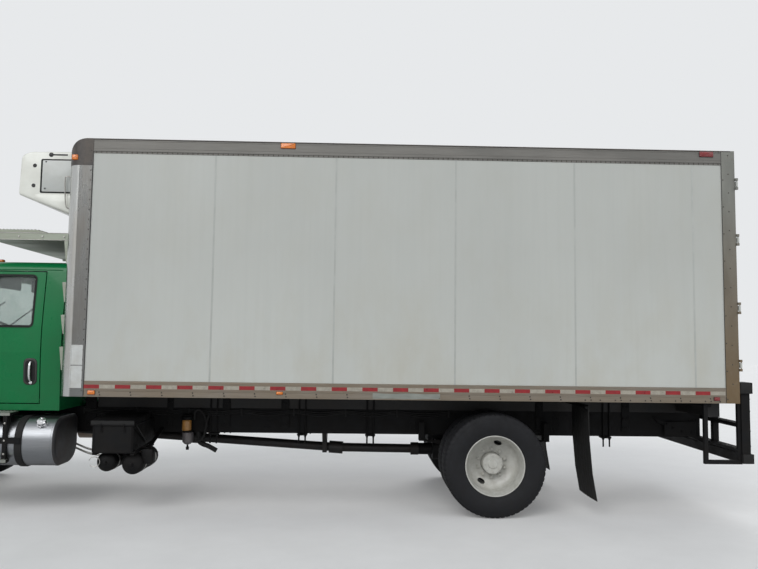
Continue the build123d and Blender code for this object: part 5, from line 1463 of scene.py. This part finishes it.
class TRUCK_OT_box_rear(bpy.types.Operator):
    """Make the rear doors' gaskets, hinge bolts, lock rods and handles, and the rear frame's rivets and tape"""
    bl_idname = "truck.box_rear"
    bl_label = "Box rear"

    def execute(self, context):
        face = DOOR_FACE
        line = row(face, *rounded(oblong(0.016, 1.180, 1.410, 3.576), 0.012, 3).T)
        gasket = carry([(-0.006, -0.004), (0.006, -0.004), (0.004, 0.004), (-0.004, 0.004)], line, looped=True)
        ups = np.arange(1.46, 3.56, 0.1)
        overs = np.arange(0.06, 1.16, 0.1)
        heads = [row(face, y, ups) for y in (0.034, 1.165)] + [row(face, overs, z) for z in (1.428, 3.558)]
        bolts = [(face - 0.008, y, z + dz) for z in (1.560, 2.140, 2.840, 3.420) for y in (0.885, 0.965, 1.045, 1.125)
                 for dz in (-0.013, 0.013)]
        x = face - 0.021
        rods, brackets, grips = [], [], []
        for y in (0.210, 0.800):
            rods.append(tube([(x, y, 1.407), (x, y, 3.578)], 0.012, 16, 1))
            rods += [lathe([(-0.012, 0.017), (0.012, 0.017)], (x, y, z), UP, 16) for z in (1.430, 3.555)]
            for z in (1.520, 2.050, 2.700, 3.380):
                brackets.append(block(x - 0.015, x + 0.019, y - 0.017, y + 0.017, z - 0.020, z + 0.020, 0.006))
                brackets.append(block(face - 0.005, face, y - 0.030, y + 0.030, z - 0.022, z + 0.022, 0.002))
                brackets.append(studs([(face - 0.005, y + dy, z) for dy in (-0.023, 0.023)], BACK, scaled(BOLT, 0.4)))
            brackets.append(block(x - 0.014, x + 0.012, y - 0.020, y + 0.020, 1.852, 1.894, 0.005))
            grips.append(bar((x - 0.010, y, 1.873), (x - 0.010, y + 0.330, 1.873), 0.010, 0.034, 0.003))
            grips.append(tube([(x - 0.010, y + 0.190, 1.873), (x - 0.010, y + 0.328, 1.873)], 0.013, 12, 1))
            brackets.append(block(face - 0.010, face, y + 0.268, y + 0.322, 1.838, 1.908, 0.002))
            brackets.append(block(face - 0.030, face - 0.008, y + 0.272, y + 0.318, 1.842, 1.853, 0.002))
        for side, name in SIDES:
            for label, shapes, slot, key in (("rear_gasket", [gasket], "mirror_black", "seal"),
                                             ("rear_door_rivets", [rivet_rows(heads, BACK, 1.2)], "box_white",
                                              "zinc"),
                                             ("hinge_bolts", [studs(bolts, BACK, scaled(BOLT, 0.55))],
                                              "frame_steel", "zinc"),
                                             ("lock_rods_round", rods + brackets, "frame_steel", "zinc"),
                                             ("lock_handles", grips, "frame_steel", "zinc"),):
                made = piece(f"{label}_{name}", sided(shapes, side), slot, key, 40, body=f"rear_door_{name}")
                if label == "lock_rods_round":
                    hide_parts(f"lock_rods_{name}")
        self.frame_work(context.scene.truck_sizes)
        return {"FINISHED"}

    def frame_work(self, sizes):
        """Rivets up the posts and along the header, a seam beside each rail, and tape along the sill."""
        ups = np.arange(1.22, 3.74, 0.14)
        posts = np.arange(3.718, 1.2, -0.1955)
        rows = [row(-4.669, SIDE_Y, posts), row(-4.612, SIDE_Y, ups[::2])]
        overs = np.arange(0.08, 1.28, 0.2)
        behind = [row(BOX_REAR, overs, z) for z in (1.205, 1.380, 3.745)] + [row(BOX_REAR, 1.275, ups)]
        piece("rear_frame_rivets", both(rivet_rows(rows, LEFT, 1.6), rivet_rows(behind, BACK, 1.6)), "frame_steel",
              "dark rivet")
        seam = block(-4.600, -4.595, SIDE_Y - 0.002, SIDE_Y + 0.0008, BOX_LOW + 0.004, BOX_HIGH - 0.004, 0.0005)
        post_seam = block(PANEL_FRONT - 0.002, PANEL_FRONT + 0.002, SIDE_Y - 0.002, SIDE_Y + 0.0008, BOX_LOW,
                          BOX_HIGH - 0.01, 0.0005)
        piece("post_seams", both(seam, post_seam), "mirror_black", "seal")
        for first, key, name in ((0, "red tape", "sill_tape_red"), (1, "silver tape", "sill_tape_silver")):
            strips = [block(BOX_REAR - 0.0006, BOX_REAR + 0.001, y, y + sizes.tape_block, 1.318, 1.368, 0.0003)
                      for y in sizes.tape_block * np.arange(first, 7, 2)]
            piece(name, both(*strips), "lamp_lens", key)


class TRUCK_OT_rear_step(bpy.types.Operator):
    """Make the rear step's rubber dock blocks, their bolts, and the treads on its bars"""
    bl_idname = "truck.rear_step"
    bl_label = "Rear step"

    def execute(self, context):
        caps = [slab("xy", rounded(oblong(-4.872, -4.739, 1.118, 1.292), 0.022, 3), 1.276, 1.390, 0.012, 3),
                slab("xy", rounded(oblong(-4.880, -4.764, 1.148, 1.272), 0.016, 3), 0.575, 0.672, 0.010, 3)]
        piece("dock_blocks", both(*caps), "flap_rubber", "seal", 40)
        treads = []
        for z in (0.9725, 0.7165):
            ys = np.arange(0.02, 1.19, 0.026)
            grid = row(*np.meshgrid(np.linspace(-4.842, -4.778, 4), ys), z)
            treads.append(studs(grid, UP, [(-0.002, 0.009), (0.003, 0.006), (0.003, 0.001)], 6))
        bolts = studs([(-4.855, y, z) for y in (1.180, 1.240) for z in (0.75, 0.90, 1.10, 1.22)], BACK,
                      scaled(BOLT, 0.8))
        plates = [block(-4.650, -4.300, 0.476, 0.484, 0.755, 0.905, 0.002),
                  block(-4.470, -4.430, 0.434, 1.240, 1.134, 1.176, 0.004)]
        gusset = studs([(x, 0.484, z) for x, z in ((-4.61, 0.79), (-4.50, 0.80), (-4.40, 0.84), (-4.33, 0.88))], LEFT,
                       BOLT)
        piece("rear_step_treads", both(*treads, bolts, gusset, *plates), "chassis_black", "chassis", 40)
        return {"FINISHED"}


class TRUCK_OT_chassis_fittings(bpy.types.Operator):
    """Make the body's U-bolts and brackets, the rails' bolts, air lines, filter and hoses"""
    bl_idname = "truck.chassis_fittings"
    bl_label = "Chassis fittings"

    def execute(self, context):
        web, low = WEB_Y, 0.735
        bolts = [(x + dx, web, z) for x in (-4.640, -3.100, -1.500, 0.100, 1.900) for dx in (-0.024, 0.024)
                 for z in (0.80, 0.86, 0.92)]
        bolts += [(x, web, z) for x in np.arange(-1.40, -3.60, -0.14) for z in (0.775, 0.960)]
        parts = [studs(bolts, LEFT, scaled(BOLT, 0.8))]
        for x in (0.690, -0.280, -1.030, -3.660):
            parts += [tube([(x + dx, web + 0.012, 1.16), (x + dx, web + 0.012, 0.62)], 0.009, 8, 1)
                      for dx in (-0.035, 0.035)]
            parts += [block(x - 0.055, x + 0.055, web - 0.085, web + 0.026, low - 0.022, low - 0.002, 0.003),
                      block(x - 0.050, x + 0.050, web, web + 0.024, 1.150, 1.166, 0.003)]
            parts.append(studs([(x + dx, web + 0.012, low - 0.022) for dx in (-0.035, 0.035)], DOWN,
                               scaled(BOLT, 1.3)))
        for x, half in ((2.030, 0.060), (1.170, 0.034), (0.555, 0.044), (-0.090, 0.044), (-2.910, 0.044),
                        (-3.880, 0.044)):
            parts += [block(x - half, x + half, web, web + 0.012, 0.790, 1.176, 0.003),
                      block(x - half, x + half, web, web + 0.080, 1.158, 1.176, 0.003),
                      studs([(x + dx, web + 0.012, z) for dx in (-half / 2, half / 2) for z in (0.83, 0.93, 1.06)],
                            LEFT, BOLT)]
        piece("body_mounts", both(*parts), "chassis_black", "chassis", 40)
        lines = []
        for number, z in enumerate((0.985, 0.968, 0.952)):
            xs = np.linspace(2.1, -1.9, 15)
            sag = 0.010 * np.cos(np.arange(15) * pi) * (1 + 0.3 * number)
            lines.append(tube(row(xs, web + 0.014, z - 0.01 + sag), 0.007, 8, 4))
        lines += [block(x - 0.010, x + 0.010, web, web + 0.026, 0.925, 1.000, 0.003)
                  for x in np.linspace(2.1, -1.9, 8)]
        self.filter(web)
        hoses = [tube([(0.890, 0.49, 0.88), (0.885, 0.51, 0.965), (0.840, 0.50, 0.985), (0.790, 0.47, 0.93),
                       (0.760, 0.45, 0.80)], 0.011, 10, 6),
                 tube([(0.860, 0.49, 0.66), (0.820, 0.50, 0.66), (0.780, 0.49, 0.72), (0.765, 0.47, 0.84),
                       (0.740, 0.45, 0.94)], 0.013, 10, 6),
                 tube([(0.794, 0.45, 0.607), (0.740, 0.45, 0.590), (0.650, 0.45, 0.542)], 0.026, 14, 5),
                 tube([(0.794, 0.45, 0.607), (0.840, 0.44, 0.640), (0.860, 0.43, 0.740)], 0.026, 14, 5)]
        piece("air_lines", lines + hoses, "chassis_black", "seal", 40)
        pipes = [tube([(2.420, 0.46, 0.700 - dz), (2.184, 0.46, 0.611 - dz), (2.010, 0.46, 0.545 - dz),
                       (1.80, 0.46, 0.520 - dz)], 0.011, 10, 5) for dz in (0.0, 0.045)]
        ring = [(1.735 + 0.055 * cos(a), 1.128, 0.520 + 0.05 * sin(a)) for a in np.linspace(0.3, 5.6, 9)]
        piece("fuel_pipes", pipes + [tube(ring, 0.004, 8, 4)], "tank_aluminium", "zinc", 40)
        plate = slab("xz", rounded(oblong(1.176, 1.292, 0.490, 0.640), 0.02, 3), 0.950, 1.060, 0.01, 2)
        hanger = [bar((1.25, 0.432, 0.78), (1.25, 0.99, 0.62), 0.04, 0.012),
                  bar((1.325, 1.16, 0.903), (1.209, 1.16, 0.717), 0.010, 0.010),
                  bar((1.374, 1.10, 0.709), (1.149, 0.96, 0.598), 0.024, 0.008)]
        piece("tank_valves", [plate] + hanger, "chassis_black", "chassis", 40)
        return {"FINISHED"}

    def filter(self, web):
        """The water separator: an amber element over a grey bowl with a drain, on a bracket."""
        y = 0.505
        amber = [(0.0, 0.046), (0.012, 0.050), (0.100, 0.050), (0.112, 0.046), (0.126, 0.030)]
        bowl = [(0.0, 0.008), (0.008, 0.034), (0.030, 0.056), (0.120, 0.060), (0.134, 0.052)]
        drain = [(0.0, 0.001), (0.001, 0.016), (0.030, 0.018), (0.036, 0.010), (0.06, 0.010)]
        piece("filter_element", [lathe(amber, (0.970, y, 0.762), UP, 40)], "shaft_steel", "amber bowl", 40)
        piece("filter_bowl", [lathe(bowl, (0.955, y, 0.612), UP, 40)], "shaft_steel", "grey bowl", 40)
        top = [lathe([(0, 0.058), (0.012, 0.062), (0.030, 0.062), (0.036, 0.050)], (0.970, y, 0.880), UP, 32),
               lathe([(0, 0.054), (0.010, 0.060), (0.020, 0.054)], (0.960, y, 0.744), UP, 32),
               lathe(drain, (0.955, y, 0.556), UP, 20), block(0.915, 1.020, web, y, 0.895, 0.935, 0.006)]
        piece("filter_head", top, "chassis_black", "chassis", 40)


class TRUCK_OT_running_gear(bpy.types.Operator):
    """Make the leaf springs, their clamps and shackles, the brake chambers, axle cover and shock absorbers"""
    bl_idname = "truck.running_gear"
    bl_label = "Running gear"

    def execute(self, context):
        front, rear = reach("front_axle").mean(0)[0], reach("rear_tyres_left").mean(0)[0]
        leaves, clamps = [], []
        # columns: axle's x, spring's y, its lowest z, half its length, rise of its ends, thickness, width, leaves
        for x, y, z, half, rise, thick, wide, count in ((front, 0.430, 0.492, 0.640, 0.118, 0.066, 0.080, 5),
                                                        (rear, 0.492, 0.600, 0.700, 0.090, 0.096, 0.076, 7)):
            each = thick / count
            for number in range(count):
                long = half * (1 - 0.8 * number / count)
                way = np.linspace(-long, long, 17)
                path = row(x + way, y, z + rise * (way / half) ** 2 + each * (number + 0.5))
                leaves.append(carry(rounded(oblong(-wide / 2, wide / 2, -each / 2 + 0.0006, each / 2 - 0.0006), 0.002,
                                            1)[:, ::-1], path))
            for end in (-1, 1):
                tip, base = x + end * (half - 0.014), z + rise + thick / 4
                top = 0.735 if y < WEB_Y else 0.885
                leaves.append(lathe([(-wide / 2, 0.021), (wide / 2, 0.021)], (tip, y, base), LEFT, 20))
                clamps += [block(tip - 0.032, tip + 0.032, y + dy - 0.007, y + dy + 0.007, base - 0.036, top, 0.004)
                           for dy in (-wide / 2 - 0.004, wide / 2 + 0.004)]
                clamps.append(studs([(tip, y + wide / 2 + 0.011, base)], LEFT, BOLT))
            low, bolt_x, reach_x = (0.436, 0.084, 0.100) if y > WEB_Y else (0.450, 0.060, 0.075)
            high = z + thick + 0.034
            for end in (-1, 1):
                run = x + end * bolt_x
                over = [(run, y - wide / 2 - 0.010, low), (run, y - wide / 2 - 0.010, high - 0.01),
                        (run, y - wide / 4, high + 0.008), (run, y + wide / 4, high + 0.008),
                        (run, y + wide / 2 + 0.010, high - 0.01), (run, y + wide / 2 + 0.010, low)]
                clamps.append(carry(circle(0.009, 8), rounded_path(over)))
                clamps.append(studs([(run, y + dy, low) for dy in (-wide / 2 - 0.010, wide / 2 + 0.010)], DOWN, BOLT))
            clamps += [block(x - reach_x, x + reach_x, y - wide / 2 - 0.022, y + wide / 2 + 0.022, low - 0.002,
                             low + 0.014, 0.003),
                       block(x - reach_x, x + reach_x, y - wide / 2, y + wide / 2, high - 0.016, high + 0.001, 0.003)]
        piece("spring_leaves", both(*leaves), "chassis_black", "chassis", 40, ["leaf_springs"])
        piece("spring_clamps", both(*clamps), "chassis_black", "chassis", 40)
        self.axle_parts(front, rear)
        return {"FINISHED"}

    def axle_parts(self, front, rear):
        """Brake chambers by the rear wheels, shock absorbers by the front ones, and the housing's domed cover."""
        chamber = [(-0.10, 0.030), (-0.09, 0.060), (-0.06, 0.076), (-0.006, 0.080), (-0.004, 0.086), (0.006, 0.086),
                   (0.008, 0.080), (0.060, 0.078), (0.10, 0.074), (0.12, 0.050), (0.125, 0.001)]
        parts = [lathe(chamber, (rear + 0.165, 0.340, 0.600), (1, 0, 0.25), 32),
                 bar((rear + 0.06, 0.340, 0.575), (rear, 0.430, 0.560), 0.03, 0.03),
                 tube([(rear, 0.43, 0.62), (rear, 0.64, 0.62)], 0.020, 12, 1)]
        shocks = [tube([(front - 0.10, 0.36, 0.500), (front - 0.16, 0.36, 0.640)], 0.036, 16, 1),
                  tube([(front - 0.155, 0.36, 0.620), (front - 0.20, 0.36, 0.745)], 0.028, 16, 1)]
        cover = [lathe([(0.0, 0.19), (0.03, 0.185), (0.06, 0.15), (0.085, 0.09), (0.095, 0.001)],
                       (rear - 0.150, 0, 0.520), BACK, 40),
                 studs(ring_of((rear - 0.160, 0, 0.520), BACK, 0.176, 12), BACK, BOLT)]
        piece("axle_fittings", both(*parts, *shocks) + cover, "chassis_black", "chassis", 40)


class TRUCK_OT_nose(bpy.types.Operator):
    """Make the headlamps with their bowls, the hood's latches, the bumper's bolts and the radiator's fins"""
    bl_idname = "truck.nose"
    bl_label = "Nose"

    def execute(self, context):
        corner = np.array([(0.140, 0.055), (0.110, 0.085), (-0.110, 0.085), (-0.140, 0.055), (-0.140, -0.055),
                           (-0.110, -0.085), (0.110, -0.085), (0.140, -0.055)])
        outline = rounded(corner + (0.690, 1.010), 0.02, 3)
        front = reach("headlamps")[1, 0]
        lens_cover = slab("yz", outline, front - 0.010, front, 0.006, 3)
        box = slab("yz", inset(outline, 0.001), front - 0.062, front - 0.055)
        bowls, bulbs = [], []
        for y, radius in ((0.635, 0.062), (0.765, 0.052)):
            bowls.append(lathe([(-0.055, 0.001), (-0.053, radius * 0.3), (-0.045, radius * 0.62),
                                (-0.030, radius * 0.88), (-0.016, radius), (-0.014, radius + 0.004),
                                (-0.050, radius + 0.004)], (front, y, 1.010), AHEAD, 40))
            bulbs.append(lathe([(-0.052, 0.012), (-0.030, 0.010), (-0.024, 0.001)], (front, y, 1.010), AHEAD, 16))
        for label, shapes, slot, key in (("headlamp_lens", [lens_cover], "window_glass", "glass"),
                                         ("headlamp_box", [box], "mirror_black", "black plastic"),
                                         ("headlamp_bowls", bowls, "bumper_chrome", "bright"),
                                         ("headlamp_bulbs", bulbs, "lamp_lens", "clear lens")):
            made = piece(label, both(*shapes), slot, key, 40, body="hood")
            if label == "headlamp_lens":
                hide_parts("headlamps")
        latches = [tube([(3.430, 0.990, 1.370), (3.450, 1.000, 1.340), (3.470, 0.996, 1.300)], 0.010, 10, 4),
                   block(3.405, 3.455, 0.978, 0.994, 1.350, 1.400, 0.004)]
        piece("hood_latches", both(*latches), "mirror_black", "black plastic", 40, body="hood")
        bolts = studs([(x, y, z) for x, y in ((4.873, 0.12), (4.863, 0.390)) for z in (0.53, 0.73)], AHEAD,
                      [(-0.012, 0.016), (0.003, 0.016), (0.006, 0.010), (0.007, 0.001)], 16)
        piece("bumper_bolts", both(bolts), "bumper_chrome", "bright", 40)
        fins = [block(4.6105, 4.613, y - 0.0015, y + 0.0015, 0.74, 1.36, 0.0005)
                for y in np.arange(-0.32, 0.325, 0.02)]
        fins += [block(4.609, 4.612, -0.33, 0.33, z - 0.006, z + 0.006, 0.001) for z in np.arange(0.74, 1.38, 0.052)]
        piece("radiator_fins", fins, "engine_iron", "zinc", 40)
        return {"FINISHED"}


# columns: name, right edge, left edge, places of the sewn channels
SEATS = (("driver", 0.190, 0.690, (0.32, 0.44, 0.56)), ("bench", -0.870, -0.120, (-0.68, -0.495, -0.31)))


class TRUCK_OT_cab_inside(bpy.types.Operator):
    """Make the padded seats, the steering wheel, gauges, vents, door linings, pedals and sun visors"""
    bl_idname = "truck.cab_inside"
    bl_label = "Cab inside"

    def execute(self, context):
        seat = [(2.452, 1.432), (2.925, 1.452), (2.946, 1.475), (2.946, 1.512), (2.925, 1.538), (2.452, 1.518)]
        back = [(2.345, 1.548), (2.462, 1.552), (2.395, 2.150), (2.372, 2.176), (2.306, 2.170), (2.292, 2.148)]
        for label, y0, y1, channels in SEATS:
            for part, outline in (("seat", seat), ("back", back)):
                cushion(f"{label}_{part}", outline, y0 + 0.012, y1 - 0.012, channels, context)
        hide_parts("seats")
        bases = []
        pan = [(2.520, 1.398), (2.446, 1.398), (2.340, 1.530), (2.296, 2.040), (2.310, 2.042), (2.356, 1.560),
               (2.450, 1.440), (2.520, 1.440)]
        for _, y0, y1, _ in SEATS:
            bases += [block(2.480, 2.900, y0 + 0.04, y1 - 0.04, 1.055, 1.424, 0.012),
                      slab("xz", pan, y0 + 0.05, y1 - 0.05, 0.002, 1)]
        piece("seat_bases", bases, "dash_plastic", "black plastic", 40)
        self.controls()
        card = slab("xz", rounded([(2.40, 1.12), (3.18, 1.12), (3.18, 1.80), (2.40, 1.80)], 0.05, 4), 0.914, 0.930,
                    0.006, 2)
        rest = slab("xz", rounded([(2.52, 1.53), (2.98, 1.55), (2.98, 1.60), (2.52, 1.59)], 0.02, 4), 0.870, 0.918,
                    0.012, 3)
        for side, name in SIDES:
            piece(f"door_lining_{name}", sided((card, rest), side), "dash_plastic", "lining", 40, body=f"door_{name}")
        return {"FINISHED"}

    def controls(self):
        """The wheel's ring, spokes and hub round the column's line, a cowled gauge panel, vents, pedals, visors."""
        centre, foot = np.array((2.950, 0.440, 1.800)), np.array((3.200, 0.440, 1.450))
        axis = (centre - foot) / np.linalg.norm(centre - foot)
        rim = lathe([(0.015 * sin(a), 0.215 + 0.015 * cos(a)) for a in np.linspace(0, 2 * pi, 12, endpoint=False)],
                    centre, axis, 64, looped=True)
        spokes = [bar(tuple(centre - axis * 0.004), tuple(end), 0.012, 0.034, 0.004, pi / 2)
                  for end in ring_of(centre - axis * 0.002, axis, 0.208, 3, pi / 2)]
        hub = lathe([(-0.010, 0.052), (0.004, 0.055), (0.016, 0.048), (0.022, 0.001)], centre, axis, 40)
        piece("steering_wheel_ring", [rim, hub] + spokes, "dash_plastic", "black plastic", 40, ["steering_wheel"],
              "steering_wheel")
        way = np.array((-0.894, 0, 0.447))
        seat = np.array((3.168, 0.440, 1.692))
        cowl = slab("xz", rounded([(3.08, 1.690), (3.26, 1.735), (3.26, 1.775), (3.12, 1.765), (3.06, 1.715)], 0.012,
                                  3), 0.20, 0.68, 0.03, 3)
        dials = [lathe([(0, radius + 0.006), (0.008, radius + 0.005), (0.008, radius), (0.003, radius - 0.002),
                        (0.003, 0.001)], seat + np.array((-0.045, y, -0.035)), way, 32)
                 for y, radius in ((-0.10, 0.052), (0.02, 0.052), (0.12, 0.034), (-0.19, 0.034))]
        vents = [block(3.075, 3.100, y - 0.07, y + 0.07, 1.575, 1.635, 0.006) for y in (0.82, -0.06, -0.78)]
        vents += [block(3.070, 3.078, y - 0.06, y + 0.06, z, z + 0.006, 0.001) for y in (0.82, -0.06, -0.78)
                  for z in (1.585, 1.600, 1.615)]
        stalk = tube([centre - axis * 0.05 + shift for shift in ((0, 0.03, 0), (0.01, 0.15, 0.03))], 0.006, 8, 1)
        pedals = [bar((3.20, y, 1.30), (3.12, y, 1.13), 0.02, 0.010) for y in (0.30, 0.46)]
        pedals += [bar((3.13, y, 1.165), (3.10, y, 1.105), 0.075, 0.014) for y in (0.30, 0.46)]
        visors = [slab("yz", rounded(oblong(y - 0.30, y + 0.30, 2.28, 2.42), 0.03, 4), 2.985, 2.999, 0.004, 2)
                  for y in (0.44, -0.44)]
        piece("dash_fittings", [cowl, stalk] + vents + pedals, "dash_plastic", "black plastic", 40)
        piece("dash_dials", dials, "dash_plastic", "lining", 40)
        piece("sun_visors", visors, "dash_plastic", "lining", 40)


def rounded_path(points):
    """An open path of straight runs with small round corners: each corner is three points of its parabola."""
    points = np.asarray(points, float)
    middle = points[1:-1]
    back, ahead = points[:-2] - middle, points[2:] - middle
    curve = np.stack([middle + back * 0.3, middle + (back + ahead) * 0.08, middle + ahead * 0.3], 1).reshape(-1, 3)
    return np.concatenate([points[:1], curve, points[-1:]])


VOXEL = 0.0085  # the side of the remeshed block's voxels
PRESSURE = 4
SWELL_FRAMES = 20
MOST_SWELL = 0.022  # no point moves further than this
CHANNEL = 0.010  # a sewn channel's half width and its depth


def cushion(name, outline, low, high, channels, context):
    """A block with round edges, swollen as cloth, then sewn channels pressed in as narrow valleys."""
    form = slab("xz", rounded(outline, 0.03, 4), low, high, 0.03, 4)
    made = piece(name, [form], "seat_fabric", "cloth", 60)
    voxels = made.modifiers.new("voxels", "REMESH")
    voxels.mode, voxels.voxel_size = "VOXEL", VOXEL
    settle(made, context)
    cloth_form = made.modifiers.new("cloth", "CLOTH")
    cloth_form.settings.use_pressure = True
    cloth_form.settings.uniform_pressure_force = PRESSURE
    cloth_form.settings.effector_weights.gravity = 0
    start = points_of(made.data)
    for number in range(1, SWELL_FRAMES + 1):
        context.scene.frame_set(number)
    settle(made, context)
    context.scene.frame_set(1)
    step = points_of(made.data) - start
    far = np.maximum(np.linalg.norm(step, axis=1), 1e-9)[:, None]
    grown = start + step * np.minimum(1, MOST_SWELL / far)
    normals = np.empty(len(grown) * 3)
    made.data.vertices.foreach_get("normal", normals)
    valley = sum(np.exp(-((grown[:, 1] - y) / CHANNEL) ** 2) for y in channels)[:, None]
    across_form = np.clip((grown[:, 0] - grown[:, 0].min()) / 0.05, 0, 1)[:, None]
    grown -= normals.reshape(-1, 3) * CHANNEL * valley * across_form
    made.data.vertices.foreach_set("co", grown.ravel())
    made.data.polygons.foreach_set("use_smooth", np.ones(len(made.data.polygons), bool))
    finer = made.modifiers.new("finer", "SUBSURF")
    finer.levels = finer.render_levels = 1
    return made


def points_of(mesh):
    """A mesh's points as one array."""
    points = np.empty(len(mesh.vertices) * 3)
    mesh.vertices.foreach_get("co", points)
    return points.reshape(-1, 3)


def settle(made, context):
    """Makes what the piece's modifiers give its own mesh."""
    result = bpy.data.meshes.new_from_object(made.evaluated_get(context.evaluated_depsgraph_get()))
    made.modifiers.clear()
    made.data = result


class TRUCK_OT_stage(bpy.types.Operator):
    """Make the floor, backdrop, lights and the camera at the photograph's place"""
    bl_idname = "truck.stage"
    bl_label = "Stage"

    def execute(self, context):
        scene = context.scene
        self.camera(scene)
        self.floor()
        self.lights(scene)
        scene.view_settings.view_transform = "Standard"
        return {"FINISHED"}

    def camera(self, scene):
        """A 35 mm lens 7.3 m from the box's left side, turned a little and tilted, as solved from its edges."""
        yaw, pitch, roll = radians(1.574), radians(4.401), radians(0.745)
        turn_yaw = np.array([[cos(yaw), 0, -sin(yaw)], [0, 1, 0], [sin(yaw), 0, cos(yaw)]])
        turn_pitch = np.array([[1, 0, 0], [0, cos(pitch), sin(pitch)], [0, -sin(pitch), cos(pitch)]])
        turn_roll = np.array([[cos(roll), -sin(roll), 0], [sin(roll), cos(roll), 0], [0, 0, 1]])
        rows = turn_roll @ turn_pitch @ turn_yaw
        right, down, ahead = [np.array((-row[0], -row[2], -row[1])) for row in rows]
        camera = place("camera", bpy.data.cameras.new("camera"))
        camera.data.lens = 34.92
        camera.data.sensor_width = 36
        turn = np.eye(4)
        turn[:3] = np.stack([right, -down, -ahead, (-0.8805, 8.6632, 1.7597)], 1)
        camera.matrix_world = Matrix(turn)
        scene.camera = camera

    def floor(self):
        """A pale ground that the camera sees bright and the truck stands on."""
        mesh = bpy.data.meshes.new("floor")
        mesh.from_pydata([(-60, -60, 0), (60, -60, 0), (60, 60, 0), (-60, 60, 0)], [], [(0, 1, 2, 3)])
        ground = place("floor", mesh)
        made = Finish("pale floor")
        cloud = made.noise(0.7, detail=6.0)
        made.colour(made.blend(made.range(cloud, 0, 1), (0.66, 0.655, 0.64), (0.72, 0.715, 0.70)))
        made.rough(cloud, 0.8, 0.95)
        lift = made.times(made.node("ShaderNodeLightPath").outputs["Is Camera Ray"], 0.12)
        made.set(Emission_Color=(1, 1, 1, 1))
        made.link(lift, made.shader.inputs["Emission Strength"])
        mesh.materials.append(made.material)

    def lights(self, scene):
        """Soft lights from the front left, rear left and right, and a pale world that the camera sees white."""
        world = bpy.data.worlds.new("studio")
        scene.world = world
        world.use_nodes = True
        tree = world.node_tree
        soft = tree.nodes["Background"]
        soft.inputs["Color"].default_value = (0.78, 0.85, 0.95, 1)
        soft.inputs["Strength"].default_value = 0.42
        seen = tree.nodes.new("ShaderNodeBackground")
        seen.inputs["Color"].default_value = (0.80, 0.815, 0.83, 1)
        seen.inputs["Strength"].default_value = 1.0
        path = tree.nodes.new("ShaderNodeLightPath")
        direct = path.outputs["Is Camera Ray"]
        for ray in ("Is Glossy Ray", "Is Transmission Ray"):
            total = tree.nodes.new("ShaderNodeMath")
            total.operation = "ADD"
            total.use_clamp = True
            tree.links.new(direct, total.inputs[0])
            tree.links.new(path.outputs[ray], total.inputs[1])
            direct = total.outputs[0]
        mix = tree.nodes.new("ShaderNodeMixShader")
        tree.links.new(direct, mix.inputs[0])
        tree.links.new(soft.outputs[0], mix.inputs[1])
        tree.links.new(seen.outputs[0], mix.inputs[2])
        tree.links.new(mix.outputs[0], tree.nodes["World Output"].inputs["Surface"])
        for name, spot, strength in (("key", (5, 11, 9), 1.5), ("fill", (-9, 8, 6), 0.4), ("back", (-3, -10, 8), 1.1)):
            lamp = bpy.data.lights.new(name, "SUN")
            lamp.angle = radians(40)
            lamp.energy = strength
            made = place(name, lamp)
            made.rotation_mode = "QUATERNION"
            made.rotation_quaternion = Vector(spot).to_track_quat("Z", "Y")


OPERATORS = (
    TRUCK_OT_finishes, TRUCK_OT_stage, TRUCK_OT_eased_edges, TRUCK_OT_wheels, TRUCK_OT_box_sides, TRUCK_OT_box_front,
    TRUCK_OT_fuel_tank, TRUCK_OT_cab_doors, TRUCK_OT_cab_body, TRUCK_OT_cab_inside, TRUCK_OT_nose, TRUCK_OT_reefer,
    TRUCK_OT_catwalk, TRUCK_OT_battery_box, TRUCK_OT_chassis_fittings, TRUCK_OT_running_gear, TRUCK_OT_mud_flaps,
    TRUCK_OT_box_rear, TRUCK_OT_rear_step,
)


class TRUCK_PT_looks(bpy.types.Panel):
    """The sizes, colours and pieces of the truck's looks"""
    bl_label = "Truck looks"
    bl_idname = "TRUCK_PT_looks"
    bl_space_type = "VIEW_3D"
    bl_region_type = "UI"
    bl_category = "Truck"

    def draw(self, context):
        for group in (context.scene.truck_paint, context.scene.truck_sizes):
            for key in group.__annotations__:
                self.layout.prop(group, key)
        for operator in OPERATORS:
            self.layout.operator(operator.bl_idname)


CLASSES = (TruckPaint, TruckSizes, *OPERATORS, TRUCK_PT_looks)


def register():
    """Registers the classes and puts the two property groups on the scene."""
    for kind in CLASSES:
        bpy.utils.register_class(kind)
    bpy.types.Scene.truck_paint = PointerProperty(type=TruckPaint)
    bpy.types.Scene.truck_sizes = PointerProperty(type=TruckSizes)


def unregister():
    """Takes the property groups off the scene and unregisters the classes."""
    del bpy.types.Scene.truck_sizes
    del bpy.types.Scene.truck_paint
    for kind in reversed(CLASSES):
        bpy.utils.unregister_class(kind)


def main():
    """Registers the classes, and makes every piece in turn."""
    register()
    for operator in OPERATORS:
        group, name = operator.bl_idname.split(".")
        getattr(getattr(bpy.ops, group), name)()


if __name__ == "__main__":
    main()
